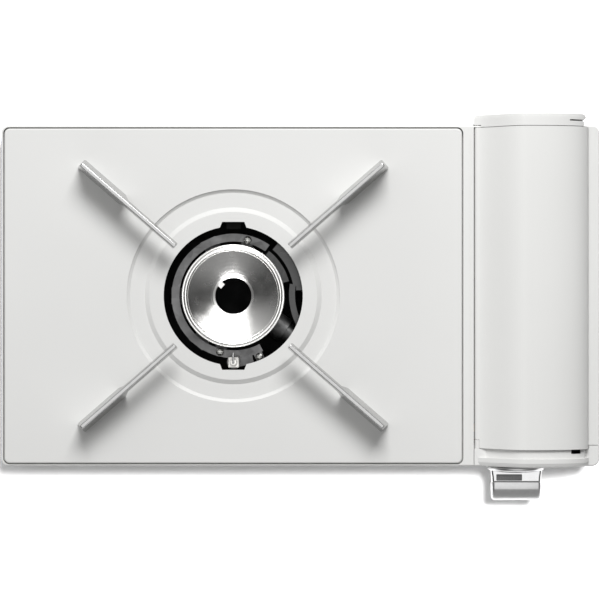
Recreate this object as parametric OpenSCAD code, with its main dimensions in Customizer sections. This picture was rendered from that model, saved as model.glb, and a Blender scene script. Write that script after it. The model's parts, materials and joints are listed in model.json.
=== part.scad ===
// Single-burner cassette stove, closed and ready for a pan.
// Origin: on the table, under the middle of the whole outline.
// +X runs along the body towards the cartridge bay, +Y to the rear, +Z up.

/* [Body] */
// Height of the deck above the table
deck_z = 58; // [57:0.5:60]
// Thickness of the feet under the body
foot_h = 4; // [3:0.5:6]
// Radius of the feet
foot_r = 8; // [6:0.5:10]
// Corner radius of the body in plan
corner_r = 5; // [4:0.5:7]
// Rounding of the upper edges of the body
edge_r = 1.2; // [0.8:0.1:1.2]
// Sheet thickness of the body walls
wall = 1.2; // [1:0.1:1.2]
// Width of the rim left of the plate
rim_side = 1.4; // [1.3:0.1:3]
// Width of the shelf that carries the plate
shelf_w = 4; // [3:0.5:5]
// Width of the deck strip between plate and lid
strip_w = 7.3; // [6:0.1:9]
// Thickness of the base plate
base_t = 1.2; // [1:0.1:2]

/* [Top plate] */
// Width of the plate, left to right
plate_w = 320.6; // [316:0.2:322]
// Gap around the plate
plate_gap = 0.8; // [0.6:0.1:1.2]
// Sheet thickness of the plate
plate_t = 1; // [0.8:0.1:1.2]
// Height of the turned-down edge of the plate
skirt_h = 4.5; // [3.5:0.5:5]
// Width of the pressed trough
trough_w = 16.8; // [15:0.2:18]
// Distance from the opening round the burner to the trough
trough_in = 10.1; // [9:0.1:12]
// Depth of the pressed trough
trough_depth = 2; // [1:0.25:2.5]
// Width of the gap between the burner cap and the opening of the plate
flame_gap = 12.7; // [12:0.1:13]
// Depth of the two notches in the opening
notch_d = 3.1; // [2.8:0.1:4]
// Width of the notches at their outer end
notch_w = 15.5; // [14:0.5:18]

/* [Pan supports] */
// Height of the pan rest above the plate
rest_h = 22; // [18:0.5:25]
// Angle of the front and rear arms from the width of the body
arm_angle = 41; // [38:0.5:45]
// Distance from the opening to the inner end of an arm
arm_in = 3.7; // [3:0.1:6]
// Distance from the burner axis to the outer end of an arm
arm_r_out = 141.1; // [135:0.1:144]
// Width of the flat top of an arm
arm_top_w = 2.9; // [2.4:0.1:4]
// Side draft of an arm, sideways over height
arm_draft = 0.12; // [0.08:0.01:0.14]
// Height of the bar that reaches over the plate
bar_h = 8; // [6:0.5:10]
// Length of the leg that stands on the plate
leg_len = 38; // [34:0.5:42]

/* [Burner] */
// Outer radius of the burner cap
cap_r = 36; // [34:0.2:37]
// Radius of the air hole in the burner cap
well_r = 12.8; // [11:0.2:14]
// Height of the burner cap above the deck
cap_rise = 6; // [5:0.5:8]
// Number of flame ports
port_count = 36; // [24:2:44]
// Distance from the deck down to the burner bracket ring
ring_in_z = 16; // [15:0.5:17]
// Direction of the mixing tube, from the width of the body
tube_angle = 35; // [32:1:38]
// Outer radius of the mixing tube
tube_r = 7.4; // [6.5:0.1:7.6]
// Outer radius of the gas pipe
pipe_r = 3; // [2.5:0.1:3.2]
// Distance from the front of the body to the gas pipe
pipe_in = 25.5; // [24.5:0.5:27]
// Distance from the opening of the plate to the wall of the burner well
well_out = 5.3; // [5:0.1:7]

/* [Cartridge bay] */
// Radius of the gas cartridge that the bay takes
cart_r = 33.5; // [33:0.1:34]
// Length of the gas cartridge that the bay takes
cart_len = 184; // [180:1:185]
// Room under the cartridge
cart_low = 0.8; // [0.5:0.1:1]
// Room between the cartridge and the right side of the body
cart_right = 14.1; // [13:0.1:15]
// Room between the cartridge and the deck strip
cart_left = 6.9; // [6.5:0.1:9]
// Clearance at the rear end of the cartridge
cart_gap = 0.8; // [0.5:0.1:1.5]
// Bore radius of the gas inlet
inlet_r = 2.1; // [2:0.05:2.3]
// Length of the gas inlet bore
inlet_len = 12; // [10:1:14]
// Radius of the cartridge magnet
magnet_r = 17; // [15:0.5:18]
// Room between the front of the body and the regulator block
block_front = 17.5; // [17:0.5:19]
// Depth of the regulator block
block_d = 26; // [24:0.5:27]

/* [Lid and end caps] */
// Width of the ledge right of the lid
ledge_w = 7.8; // [6.5:0.1:9]
// Distance from the top of the cartridge to the lid crown
lid_room = 3; // [3:0.5:5]
// Sheet thickness of the lid
lid_t = 1.2; // [1:0.1:1.4]
// Distance from the front of the body to the front edge of the lid
lid_front = 12.5; // [11.5:0.5:13]
// Radius of the hinge barrel
barrel_r = 2.2; // [2:0.1:2.4]
// Radius of the hinge pins
pin_r = 1.2; // [1:0.05:1.3]
// Depth of the front end cap along the ledge
front_cap_d = 14.5; // [14:0.1:16]
// Wall thickness of the front end cap
cap_wall = 2; // [1.6:0.1:2.4]
// Distance that the rear end cap stands out behind the body
rear_cap_out = 7.5; // [6:0.5:9]

/* [Knob] */
// Distance that the knob stands out in front of the body
knob_out = 25.5; // [24:0.5:28]
// Radius of the knob flange
knob_r = 20; // [18:0.5:20]
// Distance from the cartridge axis to the knob axis
knob_left = 9; // [8:0.5:10]
// Width of the knob handle
grip_w = 35; // [30:0.5:36]
// Thickness of the knob handle
grip_h = 13; // [10:0.5:14]
// Radius of the knob shaft
shaft_r = 4; // [3.5:0.1:4.2]
// Turn of the knob from off to ignite, in degrees
knob_turn = 130; // [110:5:130]
// Stroke of the igniter plunger over that turn
press_stroke = 6; // [5:0.5:6]

/* [Hidden] */

$fn = 64;
eps = 0.01;
seat_gap = 0.3;      // air between pieces that only rest on each other
run_gap = 0.05;      // radial air of a shaft or pin in its bore
slip_gap = 0.1;      // radial air of a piece pushed into a fixed bore
screw_r = 1.5;       // shank radius of the small screws
head_r = 2.8;        // head radius of the small screws
head_h = 1.8;        // head height of the small screws

// Outline of the body: the cartridge with its regulator gives the depth,
// the plate beside the bay gives the width
magnet_t = 3;
flange_t = 6;
body_d = block_front + block_d + flange_t + magnet_t + cart_len + cart_gap + wall;
body_w = rim_side + plate_w + 2 * plate_gap + strip_w + cart_left + 2 * cart_r + cart_right;
mid_y = (knob_out - rear_cap_out) / 2;
x_left = -body_w / 2;
x_right = body_w / 2;
y_front = mid_y - body_d / 2;
y_rear = mid_y + body_d / 2;
base_top = foot_h + base_t;
cart_x = x_right - cart_right - cart_r;
cart_z = base_top + cart_low + cart_r;

// Plate and burner
plate_x0 = x_left + rim_side + plate_gap;
plate_x1 = plate_x0 + plate_w;
plate_y0 = y_front + wall + plate_gap;
plate_y1 = y_rear - wall - plate_gap;
plate_r = corner_r - wall;
burner_x = plate_x0 + plate_w / 2;
opening_r = cap_r + flame_gap;
notch_reach = opening_r + notch_d;
arm_r_in = opening_r + arm_in;
trough_r_in = opening_r + trough_in;
trough_r_out = trough_r_in + trough_w;
shelf_top = deck_z - skirt_h - seat_gap;
pocket_x1 = plate_x1 + plate_gap;
strip_x1 = pocket_x1 + strip_w;

// Lid
hinge_gap = 0.6;     // air between the deck strip and the hinge barrel
hinge_x = strip_x1 + hinge_gap + barrel_r;
hinge_z = deck_z - barrel_r;
lid_x0 = hinge_x;
lid_x1 = x_right - ledge_w;
lid_rise = cart_z + cart_r + lid_room - deck_z;
lid_left = cart_r + 2;
crown_x = lid_x0 - barrel_r + lid_left;
lid_y0 = y_front + lid_front;
lid_y1 = y_rear - wall - seat_gap;
lid_corner_r = 5.6;
cap_front_y = y_front + front_cap_d;
landing_w = 4;       // part of the ledge that lies under the lid
bay_x1 = lid_x1 - landing_w;

// Cartridge bay, front to rear
seat_y = y_rear - wall - cart_gap - cart_len;
flange_y = seat_y - magnet_t;
block_y1 = flange_y - flange_t;
block_y0 = y_front + block_front;
block_x0 = cart_x - 23;
block_x1 = cart_x + 19;
block_z1 = deck_z - 2;
block_z0 = block_z1 - 34;
partition_x = pocket_x1 + 2.4;

// Knob and igniter
knob_x = cart_x - knob_left;
knob_z = deck_z - 20;
cam_y = y_front + 10.5;
cam_w = 6;
cam_r = 9;
cam_gap = 0.6;
piezo_x0 = knob_x + cam_r + cam_gap + 8.4;
piezo_len = 28;
piezo_w = 12;
plunger_r = 3.5;
bezel_t = 0.8;
knob_y0 = y_front - bezel_t - 0.4;
knob_y1 = y_front - knob_out;

// Burner levels
ring_z = deck_z - ring_in_z;
bowl_z0 = ring_z - 2;
tube_z = bowl_z0 - 7;
bowl_z1 = deck_z - 1;
bowl_r = cap_r - 3;
port_z1 = bowl_z1 + 4;
cap_top = deck_z + cap_rise;
neck_len = bowl_r + 11;
pan_r = opening_r + well_out;
pan_z = base_top + 2;
pan_t = 0.8;
pan_top = deck_z - 8;
electrode_r = opening_r - 2;

// ---------- shared shapes ----------

// Plan outline with round corners
module plan(x0, x1, y0, y1, r) {
  translate([x0 + r, y0]) square([x1 - x0 - 2 * r, y1 - y0]);
  translate([x0, y0 + r]) square([x1 - x0, y1 - y0 - 2 * r]);
  for (x = [x0 + r, x1 - r], y = [y0 + r, y1 - r]) translate([x, y]) circle(r);
}

// Upright block with round corners
module slab(x0, x1, y0, y1, z0, z1, r) {
  translate([0, 0, z0]) linear_extrude(z1 - z0) plan(x0, x1, y0, y1, r);
}

// Plain block between two corners
module block(x0, x1, y0, y1, z0, z1) {
  translate([x0, y0, z0]) cube([x1 - x0, y1 - y0, z1 - z0]);
}

// Half section of a block whose upper edges are rounded by f
module edge_section(half, z0, z1, f) {
  translate([0, z0]) square([half, z1 - f - z0]);
  translate([0, z1 - f - eps]) square([half - f, f + eps]);
  translate([half - f, z1 - f]) circle(f);
}

// Block with round corners in plan and rounded upper edges
module soft_block(x0, x1, y0, y1, z0, z1, r, f) {
  cx = (x0 + x1) / 2;
  cy = (y0 + y1) / 2;
  w = x1 - x0;
  d = y1 - y0;
  translate([cx, cy + d / 2 - r, 0]) rotate([90, 0, 0]) linear_extrude(d - 2 * r)
    for (m = [0, 1]) mirror([m, 0]) edge_section(w / 2, z0, z1, f);
  translate([cx - w / 2 + r, cy, 0]) rotate([90, 0, 90]) linear_extrude(w - 2 * r)
    for (m = [0, 1]) mirror([m, 0]) edge_section(d / 2, z0, z1, f);
  for (i = [0:3]) {
    sx = (i == 0 || i == 3) ? 1 : -1;
    sy = (i < 2) ? 1 : -1;
    translate([cx + sx * (w / 2 - r), cy + sy * (d / 2 - r), 0]) rotate([0, 0, 90 * i])
      rotate_extrude(angle = 90) edge_section(r, z0, z1, f);
  }
}

// Rod along Y, starting at y and growing to the rear
module rod_y(x, y, z, r, len) {
  translate([x, y, z]) rotate([-90, 0, 0]) cylinder(r = r, h = len);
}

// Rod along X, starting at x and growing to the right
module rod_x(x, y, z, r, len) {
  translate([x, y, z]) rotate([0, 90, 0]) cylinder(r = r, h = len);
}

// Rod along Z
module rod_z(x, y, z, r, len) {
  translate([x, y, z]) cylinder(r = r, h = len);
}

module at_burner(angle = 0) {
  translate([burner_x, mid_y, 0]) rotate([0, 0, angle]) children();
}

// Section shape (x, z) carried along Y from y0 to y1
module run_y(y0, y1) {
  translate([0, y1, 0]) rotate([90, 0, 0]) linear_extrude(y1 - y0) children();
}

// Screw with its head at the lower end, pointing up from z
module screw_up(x, y, z, len) {
  rod_z(x, y, z, head_r, head_h);
  rod_z(x, y, z + head_h - eps, screw_r, len + eps);
}

// Screw with its head on top, pointing down from z
module screw_down(x, y, z, len) {
  rod_z(x, y, z, head_r, head_h);
  rod_z(x, y, z - len, screw_r, len + eps);
}

// ---------- arch of the lid and the end caps ----------

arch_n = 2.2;        // fullness of the right shoulder
arch_steps = 20;
arch_foot = deck_z + seat_gap;

// Points from the left foot over the crown to the right foot, lowered by t
function left_rise(u) = (lid_rise + 0.05) * pow((1 + cos(180 * min(u, 1))) / 2, 0.8) - 0.05;
function left_slope(u) = (left_rise(max(u - 0.01, 0)) - left_rise(u + 0.01)) / (0.02 * (crown_x - lid_x0));
function arch_left(t) = [for (i = [0:arch_steps])
  let (u = 1 - i / arch_steps)
  [crown_x - u * (crown_x - lid_x0), deck_z + left_rise(u) - t * norm([1, left_slope(u)])]];
function arch_right(t) = [for (i = [1:arch_steps])
  let (q = 90 * (1 - i / arch_steps))
  [crown_x + (lid_x1 - crown_x - t) * pow(cos(q), 2 / arch_n),
   arch_foot + (deck_z + lid_rise - t - arch_foot) * pow(sin(q), 2 / arch_n)]];

// Sheet of thickness t under the arch
module arch_sheet(t) {
  inner = concat(arch_left(t), arch_right(t));
  n = len(inner);
  polygon(concat(arch_left(0), arch_right(0), [for (i = [n - 1:-1:0]) inner[i]]));
}

// Filled arch down to z0, lowered by t
module arch(t, z0) {
  top = concat(arch_left(t), arch_right(t));
  polygon(concat(top, [[lid_x1 - t, z0], [lid_x0, z0]]));
}

// ---------- body ----------

// Places of the screws that hold the base plate, in from the walls
base_screw_in = 9;
base_screws_at = [
  [x_left + base_screw_in, y_front + 30], [x_left + base_screw_in, y_rear - 30],
  [burner_x - 0.28 * plate_w, y_front + base_screw_in], [burner_x - 0.28 * plate_w, y_rear - base_screw_in],
  [burner_x + 0.34 * plate_w, y_front + base_screw_in], [burner_x + 0.34 * plate_w, y_rear - base_screw_in],
  [x_right - base_screw_in, y_rear - 30], [x_right - base_screw_in, y_front + base_screw_in],
];
front_cap_screw = 7; // the last place belongs to the front cap
foot_in = 24;
feet_at = [for (x = [x_left + foot_in, x_right - foot_in], y = [y_front + foot_in, y_rear - foot_in]) [x, y]];
boss_r = 4;
boss_h = 9;
pilot_r = screw_r + slip_gap;

// Screw boss that stands on the base plate and is tied to a wall
module wall_boss(p, to) {
  difference() {
    union() {
      rod_z(p[0], p[1], base_top + seat_gap, boss_r, boss_h);
      if (p[0] == to[0])
        block(p[0] - 1, p[0] + 1, min(p[1], to[1]), max(p[1], to[1]), base_top + seat_gap,
              base_top + seat_gap + boss_h);
      else
        block(min(p[0], to[0]), max(p[0], to[0]), p[1] - 1, p[1] + 1, base_top + seat_gap,
              base_top + seat_gap + boss_h);
    }
    rod_z(p[0], p[1], foot_h, pilot_r, boss_h);
  }
}

// The wall point that a boss is tied to
function wall_point(p) =
  p[0] < x_left + 20 ? [x_left + wall / 2, p[1]] :
  p[0] > x_right - 20 ? [x_right - wall / 2, p[1]] :
  p[1] < mid_y ? [p[0], y_front + wall / 2] : [p[0], y_rear - wall / 2];

module outer_body() {
  soft_block(x_left, x_right, y_front, y_rear, foot_h, deck_z, corner_r, edge_r);
}

vent_w = 3;
vent_pitch = 9;
ridge_h = 0.3;

module body_shell() color([0.9, 0.9, 0.88]) {
  difference() {
    outer_body();
    // hollow under the plate, up to the shelf
    slab(x_left + wall, pocket_x1 + 20, y_front + wall, y_rear - wall, 0, shelf_top - wall, plate_r);
    // pocket of the plate and the hole inside the shelf
    slab(plate_x0 - plate_gap, pocket_x1, y_front + wall, y_rear - wall, shelf_top, deck_z + 1,
         plate_r + 0.5);
    slab(plate_x0 + shelf_w, pocket_x1 - shelf_w, y_front + shelf_w, y_rear - shelf_w, 0, deck_z + 1,
         plate_r);
    // hollow under the deck strip and the bay
    block(pocket_x1 - wall, x_right - wall - 2, y_front + wall, y_rear - wall, 0, shelf_top - wall);
    block(pocket_x1 + wall, strip_x1 - wall, y_front + wall, y_rear - wall, 0, deck_z - wall);
    slab(bay_x1 - 8, x_right - wall, y_front + wall, y_rear - wall, 0, deck_z - wall, plate_r);
    // mouth of the bay
    block(strip_x1, bay_x1, y_front + wall, y_rear - wall, 0, deck_z + 1);
    // room for the front end cap
    block(strip_x1 + 0.2, x_right + 1, y_front - 1, cap_front_y + 0.4, 0, deck_z + 1);
    // air vents low in the left and rear walls
    for (i = [-6:6]) {
      block(x_left - 1, x_left + wall + 1, mid_y + i * vent_pitch, mid_y + i * vent_pitch + vent_w, 14, 30);
      block(burner_x + i * vent_pitch, burner_x + i * vent_pitch + vent_w, y_rear - wall - 1, y_rear + 1,
            14, 30);
    }
    // holes for the rear cap screws and the rear hinge pin
    for (p = rear_cap_screws_at) rod_y(p[0], y_rear - wall - 1, p[1], pilot_r, wall + 2);
    rod_y(hinge_x, y_rear - wall - 1, hinge_z, pin_r + slip_gap, wall + 2);
  }
  for (i = [0:6]) wall_boss(base_screws_at[i], wall_point(base_screws_at[i]));
  // two fine ridges along the deck strip
  for (x = [strip_x1 - 3, strip_x1 - 1.5])
    block(x, x + 0.5, y_front + 12, y_rear - 6, deck_z - eps, deck_z + ridge_h);
}

base_gap = 0.3;

module base_plate() color([0.2, 0.2, 0.21]) {
  e = wall + base_gap;
  difference() {
    union() {
      slab(x_left + e, x_right - cap_wall - base_gap, y_front + cap_wall + base_gap, y_rear - e, foot_h,
           base_top, plate_r);
    }
    for (p = base_screws_at) rod_z(p[0], p[1], foot_h - 1, pilot_r, base_t + 2);
    for (p = feet_at) rod_z(p[0], p[1], foot_h - 1, pilot_r, base_t + 2);
    for (p = block_feet_at) rod_z(p[0], p[1], foot_h - 1, pilot_r, base_t + 2);
    // air slots under the burner
    for (i = [-4:4]) at_burner() block(i * 8 - 1.5, i * 8 + 1.5, -88, -66, foot_h - 1, base_top + 1);
    for (i = [-4:4]) at_burner() block(i * 8 - 1.5, i * 8 + 1.5, 66, 88, foot_h - 1, base_top + 1);
  }
}

module rubber_feet() color([0.12, 0.12, 0.12]) {
  for (p = feet_at) difference() {
    rod_z(p[0], p[1], 0, foot_r, foot_h);
    rod_z(p[0], p[1], -1, head_r + slip_gap, 1 + foot_h - 1.4 + slip_gap);
    rod_z(p[0], p[1], 0, screw_r + slip_gap, foot_h + 1);
  }
}

module foot_screws() color([0.7, 0.7, 0.7]) {
  for (p = feet_at) screw_up(p[0], p[1], foot_h - 1.4 - head_h, base_t + 5);
}

module base_screws() color([0.7, 0.7, 0.7]) {
  for (p = base_screws_at) screw_up(p[0], p[1], foot_h - head_h, base_t + 7);
}

module bay_partition() color([0.75, 0.75, 0.76]) {
  t = 1;
  g = seat_gap;
  difference() {
    union() {
      block(partition_x, partition_x + t, y_front + 14.5, y_rear - wall - 0.5, base_top, deck_z - wall - 0.2);
      block(partition_x, partition_x + 9, y_front + 36, y_rear - 12, base_top, base_top + t);
    }
    // gas pipe, ignition lead and heat panel pass through
    rod_x(partition_x - 5, pipe_y, tube_z, pipe_r + 1, 20);
    rod_x(partition_x - 5, lead_y, lead_z, lead_r + 1, 20);
    block(partition_x - 1, partition_x + t + 1, panel_y0 - g, panel_y1 + g,
      panel_z - g, panel_z + panel_t + g);
  }
}

// Front end cap: the front right part of the housing with the knob's bore
front_x0 = strip_x1 + 0.4;
lip_len = 6;
valley_drop = 2;
knob_bore_r = shaft_r + 0.6;
pin_boss_y = lid_y0 + lid_corner_r + 0.3;

module pin_hole_front() rod_y(hinge_x, pin_boss_y - 8, hinge_z, pin_r + slip_gap, 9);

module front_cap() color([0.9, 0.9, 0.88]) {
  difference() {
    union() {
      intersection() {
        outer_body();
        block(front_x0, x_right + 1, y_front - 1, cap_front_y, foot_h, deck_z + 1);
      }
      // lip with a rounded front edge
      hull() {
        run_y(y_front + 3, y_front + lip_len) arch(0, deck_z - 4);
        run_y(y_front + 1, y_front + 3) arch(0.8, deck_z - 4);
        run_y(y_front, y_front + 1) arch(2.6, deck_z - 4);
      }
      // valley that runs in under the lid, and up to the hinge in its corner
      run_y(y_front + lip_len - eps, lid_y0 + 1.5) arch(valley_drop, deck_z - 4);
      run_y(lid_y0 + 1.5 - eps, pin_boss_y) intersection() {
        arch(valley_drop, deck_z - 4);
        translate([hinge_x, deck_z - 4]) square([lid_corner_r + 0.5, 8]);
      }
    }
    // hollow
    run_y(y_front + cap_wall, lid_y0 + 5) intersection() {
      arch(valley_drop + cap_wall, base_top);
      translate([front_x0 + cap_wall, 0]) square([200, deck_z + lid_rise]);
    }
    block(front_x0 + cap_wall, x_right - cap_wall, y_front + cap_wall, cap_front_y + 1, foot_h - 1,
          deck_z - cap_wall);
    rod_y(knob_x, y_front - 1, knob_z, knob_bore_r, 6);
    pin_hole_front();
    // room for the lid's edge to swing beside the hinge
    run_y(lid_y0 - seat_gap, cap_front_y + 1) difference() {
      arch(-0.5, hinge_z);
      arch(valley_drop - seat_gap, hinge_z - 1);
    }
    block(front_x0 - 1, hinge_x + 0.1, lid_y0 - seat_gap, cap_front_y + 1, hinge_z - barrel_r, deck_z + 1);
    // the base plate slides in under the inner side wall
    block(front_x0 - 1, front_x0 + cap_wall + 1, y_front + cap_wall, cap_front_y + 1, 0, base_top + seat_gap);
    // finger notch beside the lid's front corner
    block(lid_x1 - 13.4, lid_x1 - 6.4, lid_y0 - 3.2, lid_y0 + 3, deck_z + 4, deck_z + lid_rise + 1);
  }
  // boss of the front hinge pin
  difference() {
    rod_y(hinge_x, y_front + cap_wall / 2, hinge_z, barrel_r, pin_boss_y - y_front - cap_wall / 2);
    pin_hole_front();
  }
  wall_boss(base_screws_at[front_cap_screw], [x_right - cap_wall / 2, base_screws_at[front_cap_screw][1]]);
}

// Rear end cap: closes the arch of the lid behind the body
rear_cap_y = y_rear + 0.3;
rear_cap_x1 = lid_x1 - 2.5;
rear_slot_x = lid_x1 - 14.6;
rear_slot_y = y_rear + 2.3;
rear_slot_w = 1;
rear_draft = 4.5;    // how far the left side leans in towards the bottom
rear_cap_screws_at = [for (m = [-1, 1]) [cart_x + m * (cart_r - 0.5), base_top + 8]];

module rear_outline(t) {
  z0 = foot_h + 4 + t;
  intersection() {
    arch(t, deck_z - 2);
    translate([strip_x1 + t, 0]) square([rear_cap_x1 - strip_x1 - 2 * t, deck_z + lid_rise]);
  }
  polygon([[strip_x1 + rear_draft + t, z0], [rear_cap_x1 - t, z0], [rear_cap_x1 - t, deck_z - t],
    [strip_x1 + t, deck_z - t]]);
}

// Plan of the rear cap: its right end is a round-ended finger behind a slot
module rear_plan(y1) {
  y2 = rear_slot_y + rear_slot_w;
  plan(strip_x1, rear_cap_x1, y2, y1, 1.9);
  translate([strip_x1, y_rear - wall]) square([rear_slot_x - strip_x1, y2 + 2 - y_rear + wall]);
  plan(strip_x1 + 10, rear_cap_x1 - 1.5, y_rear - wall, rear_slot_y, 0.8);
}

module rear_cap() color([0.92, 0.92, 0.91]) {
  y1 = y_rear + rear_cap_out;
  difference() {
    intersection() {
      linear_extrude(deck_z + lid_rise + 1) rear_plan(y1);
      union() {
        run_y(rear_cap_y, y1 - 2) rear_outline(0);
        run_y(y1 - 2 - eps, y1 - 0.8) rear_outline(0.5);
        run_y(y1 - 0.8 - eps, y1) rear_outline(1.6);
        // arched lip that reaches over the rear wall to the lid
        run_y(y_rear - wall + 0.1, rear_cap_y + eps) intersection() {
          arch(0, deck_z);
          translate([hinge_x + barrel_r, deck_z + 0.1]) square([body_w, lid_rise + 1]);
        }
      }
    }
    for (p = rear_cap_screws_at) rod_y(p[0], rear_cap_y - 1, p[1], pilot_r, 6);
    rod_y(hinge_x, rear_cap_y - 1, hinge_z, pin_r + slip_gap, 4);
  }
}

module rear_cap_screws() color([0.7, 0.7, 0.7]) {
  for (p = rear_cap_screws_at) {
    rod_y(p[0], y_rear - wall - head_h, p[1], head_r, head_h);
    rod_y(p[0], y_rear - wall - eps, p[1], screw_r, wall + 5);
  }
}

module hinge_pins() color([0.75, 0.75, 0.77]) {
  rod_y(hinge_x, pin_boss_y - 7.5, hinge_z, pin_r, 14);
  rod_y(hinge_x, y_rear - 9, hinge_z, pin_r, 11.5);
}

// ---------- burner ----------

lug_angles = [76, 256];
ear_angle = 294;
ring_t = 1.2;
ring_from = 55;      // the ring runs from here, through the left, to ring_to
ring_to = 298;
ring_in = cap_r + 2.5;
ring_out = opening_r - 4.7;
lug_r = ring_in + 2.1;
leg_angles = [115, 180, 232];

module burner_well() color([0.08, 0.08, 0.08]) {
  // ear on the rim, seen in the rear notch of the plate
  at_burner() block(-5, 5, pan_r - 7, pan_r - pan_t / 2, pan_top - pan_t, pan_top);
  at_burner() difference() {
    rotate_extrude() {
      translate([0, pan_z]) square([pan_r, pan_t]);
      translate([pan_r - pan_t, pan_z]) square([pan_t, pan_top - pan_z]);
      translate([pan_r - pan_t, pan_top - pan_t]) square([3, pan_t]);
      // foot ring on the base plate
      translate([30, base_top]) square([3, pan_z - base_top + eps]);
    }
    // mixing tube, heat panel and ignition lead pass through the wall
    rotate([0, 0, -tube_angle]) rod_x(pan_r - 6, 0, tube_z, tube_r + 1.2, 12);
    block(pan_r - 12, pan_r + 6, panel_y0 - mid_y - seat_gap, panel_y1 - mid_y + seat_gap,
          panel_z - seat_gap, panel_z + panel_t + seat_gap);
    translate([0, -pan_r, lead_in_z]) rotate([90, 0, 0]) cylinder(r = lead_r + 0.8, h = 12, center = true);
  }
}

module burner_bracket() color([0.55, 0.55, 0.54]) {
  at_burner() difference() {
    union() {
      rotate([0, 0, ring_from]) rotate_extrude(angle = ring_to - ring_from)
        translate([ring_in, ring_z]) square([ring_out - ring_in, ring_t]);
      // ear for the bracket of the electrode
      rotate([0, 0, ear_angle]) block(ring_out - 3, electrode_r + 3.2, -4, 2, ring_z, ring_z + ring_t);
      // legs with feet
      for (a = leg_angles) rotate([0, 0, a]) {
        block(ring_out - 1.2, ring_out, -6, 6, pan_z + pan_t, ring_z + ring_t);
        block(ring_out - 7, ring_out, -6, 6, pan_z + pan_t, pan_z + pan_t + ring_t);
      }
    }
    for (a = lug_angles) rotate([0, 0, a]) rod_z(lug_r, 0, ring_z - 1, pilot_r, ring_t + 2);
    rotate([0, 0, ear_angle]) rod_z(electrode_r, -1, ring_z - 1, pilot_r, ring_t + 2);
    rotate([0, 0, -90]) rod_z(electrode_r, 0, ring_z - 1, insulator_r + seat_gap, ring_t + 2);
  }
}

module burner_body() color([0.62, 0.62, 0.6]) {
  at_burner() difference() {
    union() {
      rod_z(0, 0, bowl_z0, bowl_r, bowl_z1 - bowl_z0);
      // neck towards the mixing tube, with its round inner end
      rotate([0, 0, -tube_angle]) {
        rod_x(20, 0, tube_z, tube_r + 2.1, neck_len - 20);
        translate([26, 0, tube_z]) cylinder(r = tube_r + 2.1, h = bowl_z0 - tube_z + 2);
      }
      // lugs under the bracket ring and a cast ledge on the right
      for (a = lug_angles) rotate([0, 0, a])
        block(bowl_r - 3, ring_out - 0.5, -4, 4, ring_z - 4, ring_z - 0.05);
      rotate([0, 0, 15]) rotate_extrude(angle = 37)
        translate([bowl_r - 1, bowl_z0 + 2]) square([8.3, 3]);
    }
    // gas chamber round the central air passage
    difference() {
      rod_z(0, 0, bowl_z0 + 2, bowl_r - 2.2, 40);
      rod_z(0, 0, bowl_z0 + 2 - eps, well_r + 2, bowl_z1 - bowl_z0 - 5);
    }
    rod_z(0, 0, tube_z - 5, well_r, bowl_z1);
    rotate([0, 0, -tube_angle]) {
      rod_x(22, 0, tube_z, tube_r + slip_gap, neck_len);
      rod_z(26, 0, tube_z, 5.5, 14);
    }
    for (a = lug_angles) rotate([0, 0, a]) rod_z(lug_r, 0, ring_z - 6, pilot_r, 8);
  }
}

module port_ring() color([0.8, 0.8, 0.8]) {
  at_burner() difference() {
    rod_z(0, 0, bowl_z1, bowl_r - 0.2, port_z1 - bowl_z1);
    rod_z(0, 0, bowl_z1 - 1, bowl_r - 1.4, 8);
    for (i = [0:port_count - 1]) rotate([0, 0, i * 360 / port_count])
      block(bowl_r - 4, bowl_r + 1, -0.7, 0.7, bowl_z1 + 0.8, port_z1 - 0.8);
  }
}

// Turned cap: seat on the port ring, rounded crest and the funnel to the air hole
crest_w = 1.6;
crest_r = cap_r - 2.8;
funnel_r = crest_r - 1.8;
funnel_z = bowl_z1 - 3;
funnel_t = 0.9;
funnel_top = cap_top - 1.1;
function funnel(u, z0, z1) = [well_r + (funnel_r - well_r) * u, z0 + (z1 - z0) * pow(u, 1.15)];

module burner_cap() color([0.82, 0.82, 0.82]) {
  at_burner() difference() {
    rotate_extrude() {
      polygon(concat(
        [for (i = [0:12]) funnel(i / 12, funnel_z + funnel_t, funnel_top)],
        [[crest_r, cap_top - crest_w], [crest_r, cap_top - crest_w - 1.2]],
        [for (i = [12:-1:0]) funnel(i / 12, funnel_z, funnel_top - 1.6)]));
      translate([crest_r, cap_top - crest_w]) circle(crest_w);
      translate([funnel_r - 0.4, port_z1 + seat_gap / 4]) square([cap_r - funnel_r - 0.2, 1.2]);
      translate([cap_r - 0.6, port_z1 + seat_gap / 4 + 0.6]) circle(0.6);
      translate([crest_r, port_z1 + 0.5]) square([cap_r - crest_r - 0.6, cap_top - port_z1 - 1.6]);
    }
    // seat on the port ring
    difference() {
      rod_z(0, 0, port_z1 - 5, cap_r + 5, 5 + seat_gap / 4);
      rod_z(0, 0, port_z1 - 6, funnel_r - 0.5, 7);
    }
  }
  // small tab at the air hole
  at_burner(138) block(well_r - 3, well_r + 0.5, -2, 2, funnel_z, funnel_z + funnel_t);
}

module burner_screws() color([0.8, 0.8, 0.8]) {
  for (a = lug_angles) at_burner(a) screw_down(lug_r, 0, ring_z + ring_t, 5);
  at_burner(ear_angle) screw_down(electrode_r, -1, ring_z + ring_t, 3);
}

module mixing_tube() color([0.6, 0.6, 0.6]) {
  at_burner(-tube_angle) difference() {
    union() {
      rod_x(neck_len - 8, 0, tube_z, tube_r, tube_end - neck_len);
      translate([tube_end - 8, 0, tube_z]) rotate([0, 90, 0]) cylinder(r1 = tube_r, r2 = tube_r + 3.5, h = 8);
    }
    rod_x(neck_len - 9, 0, tube_z, tube_r - 1, tube_end - neck_len + 2);
    translate([tube_end - 8 - eps, 0, tube_z]) rotate([0, 90, 0])
      cylinder(r1 = tube_r - 1, r2 = tube_r + 2.6, h = 8.1);
  }
}

// ---------- gas path ----------

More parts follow.
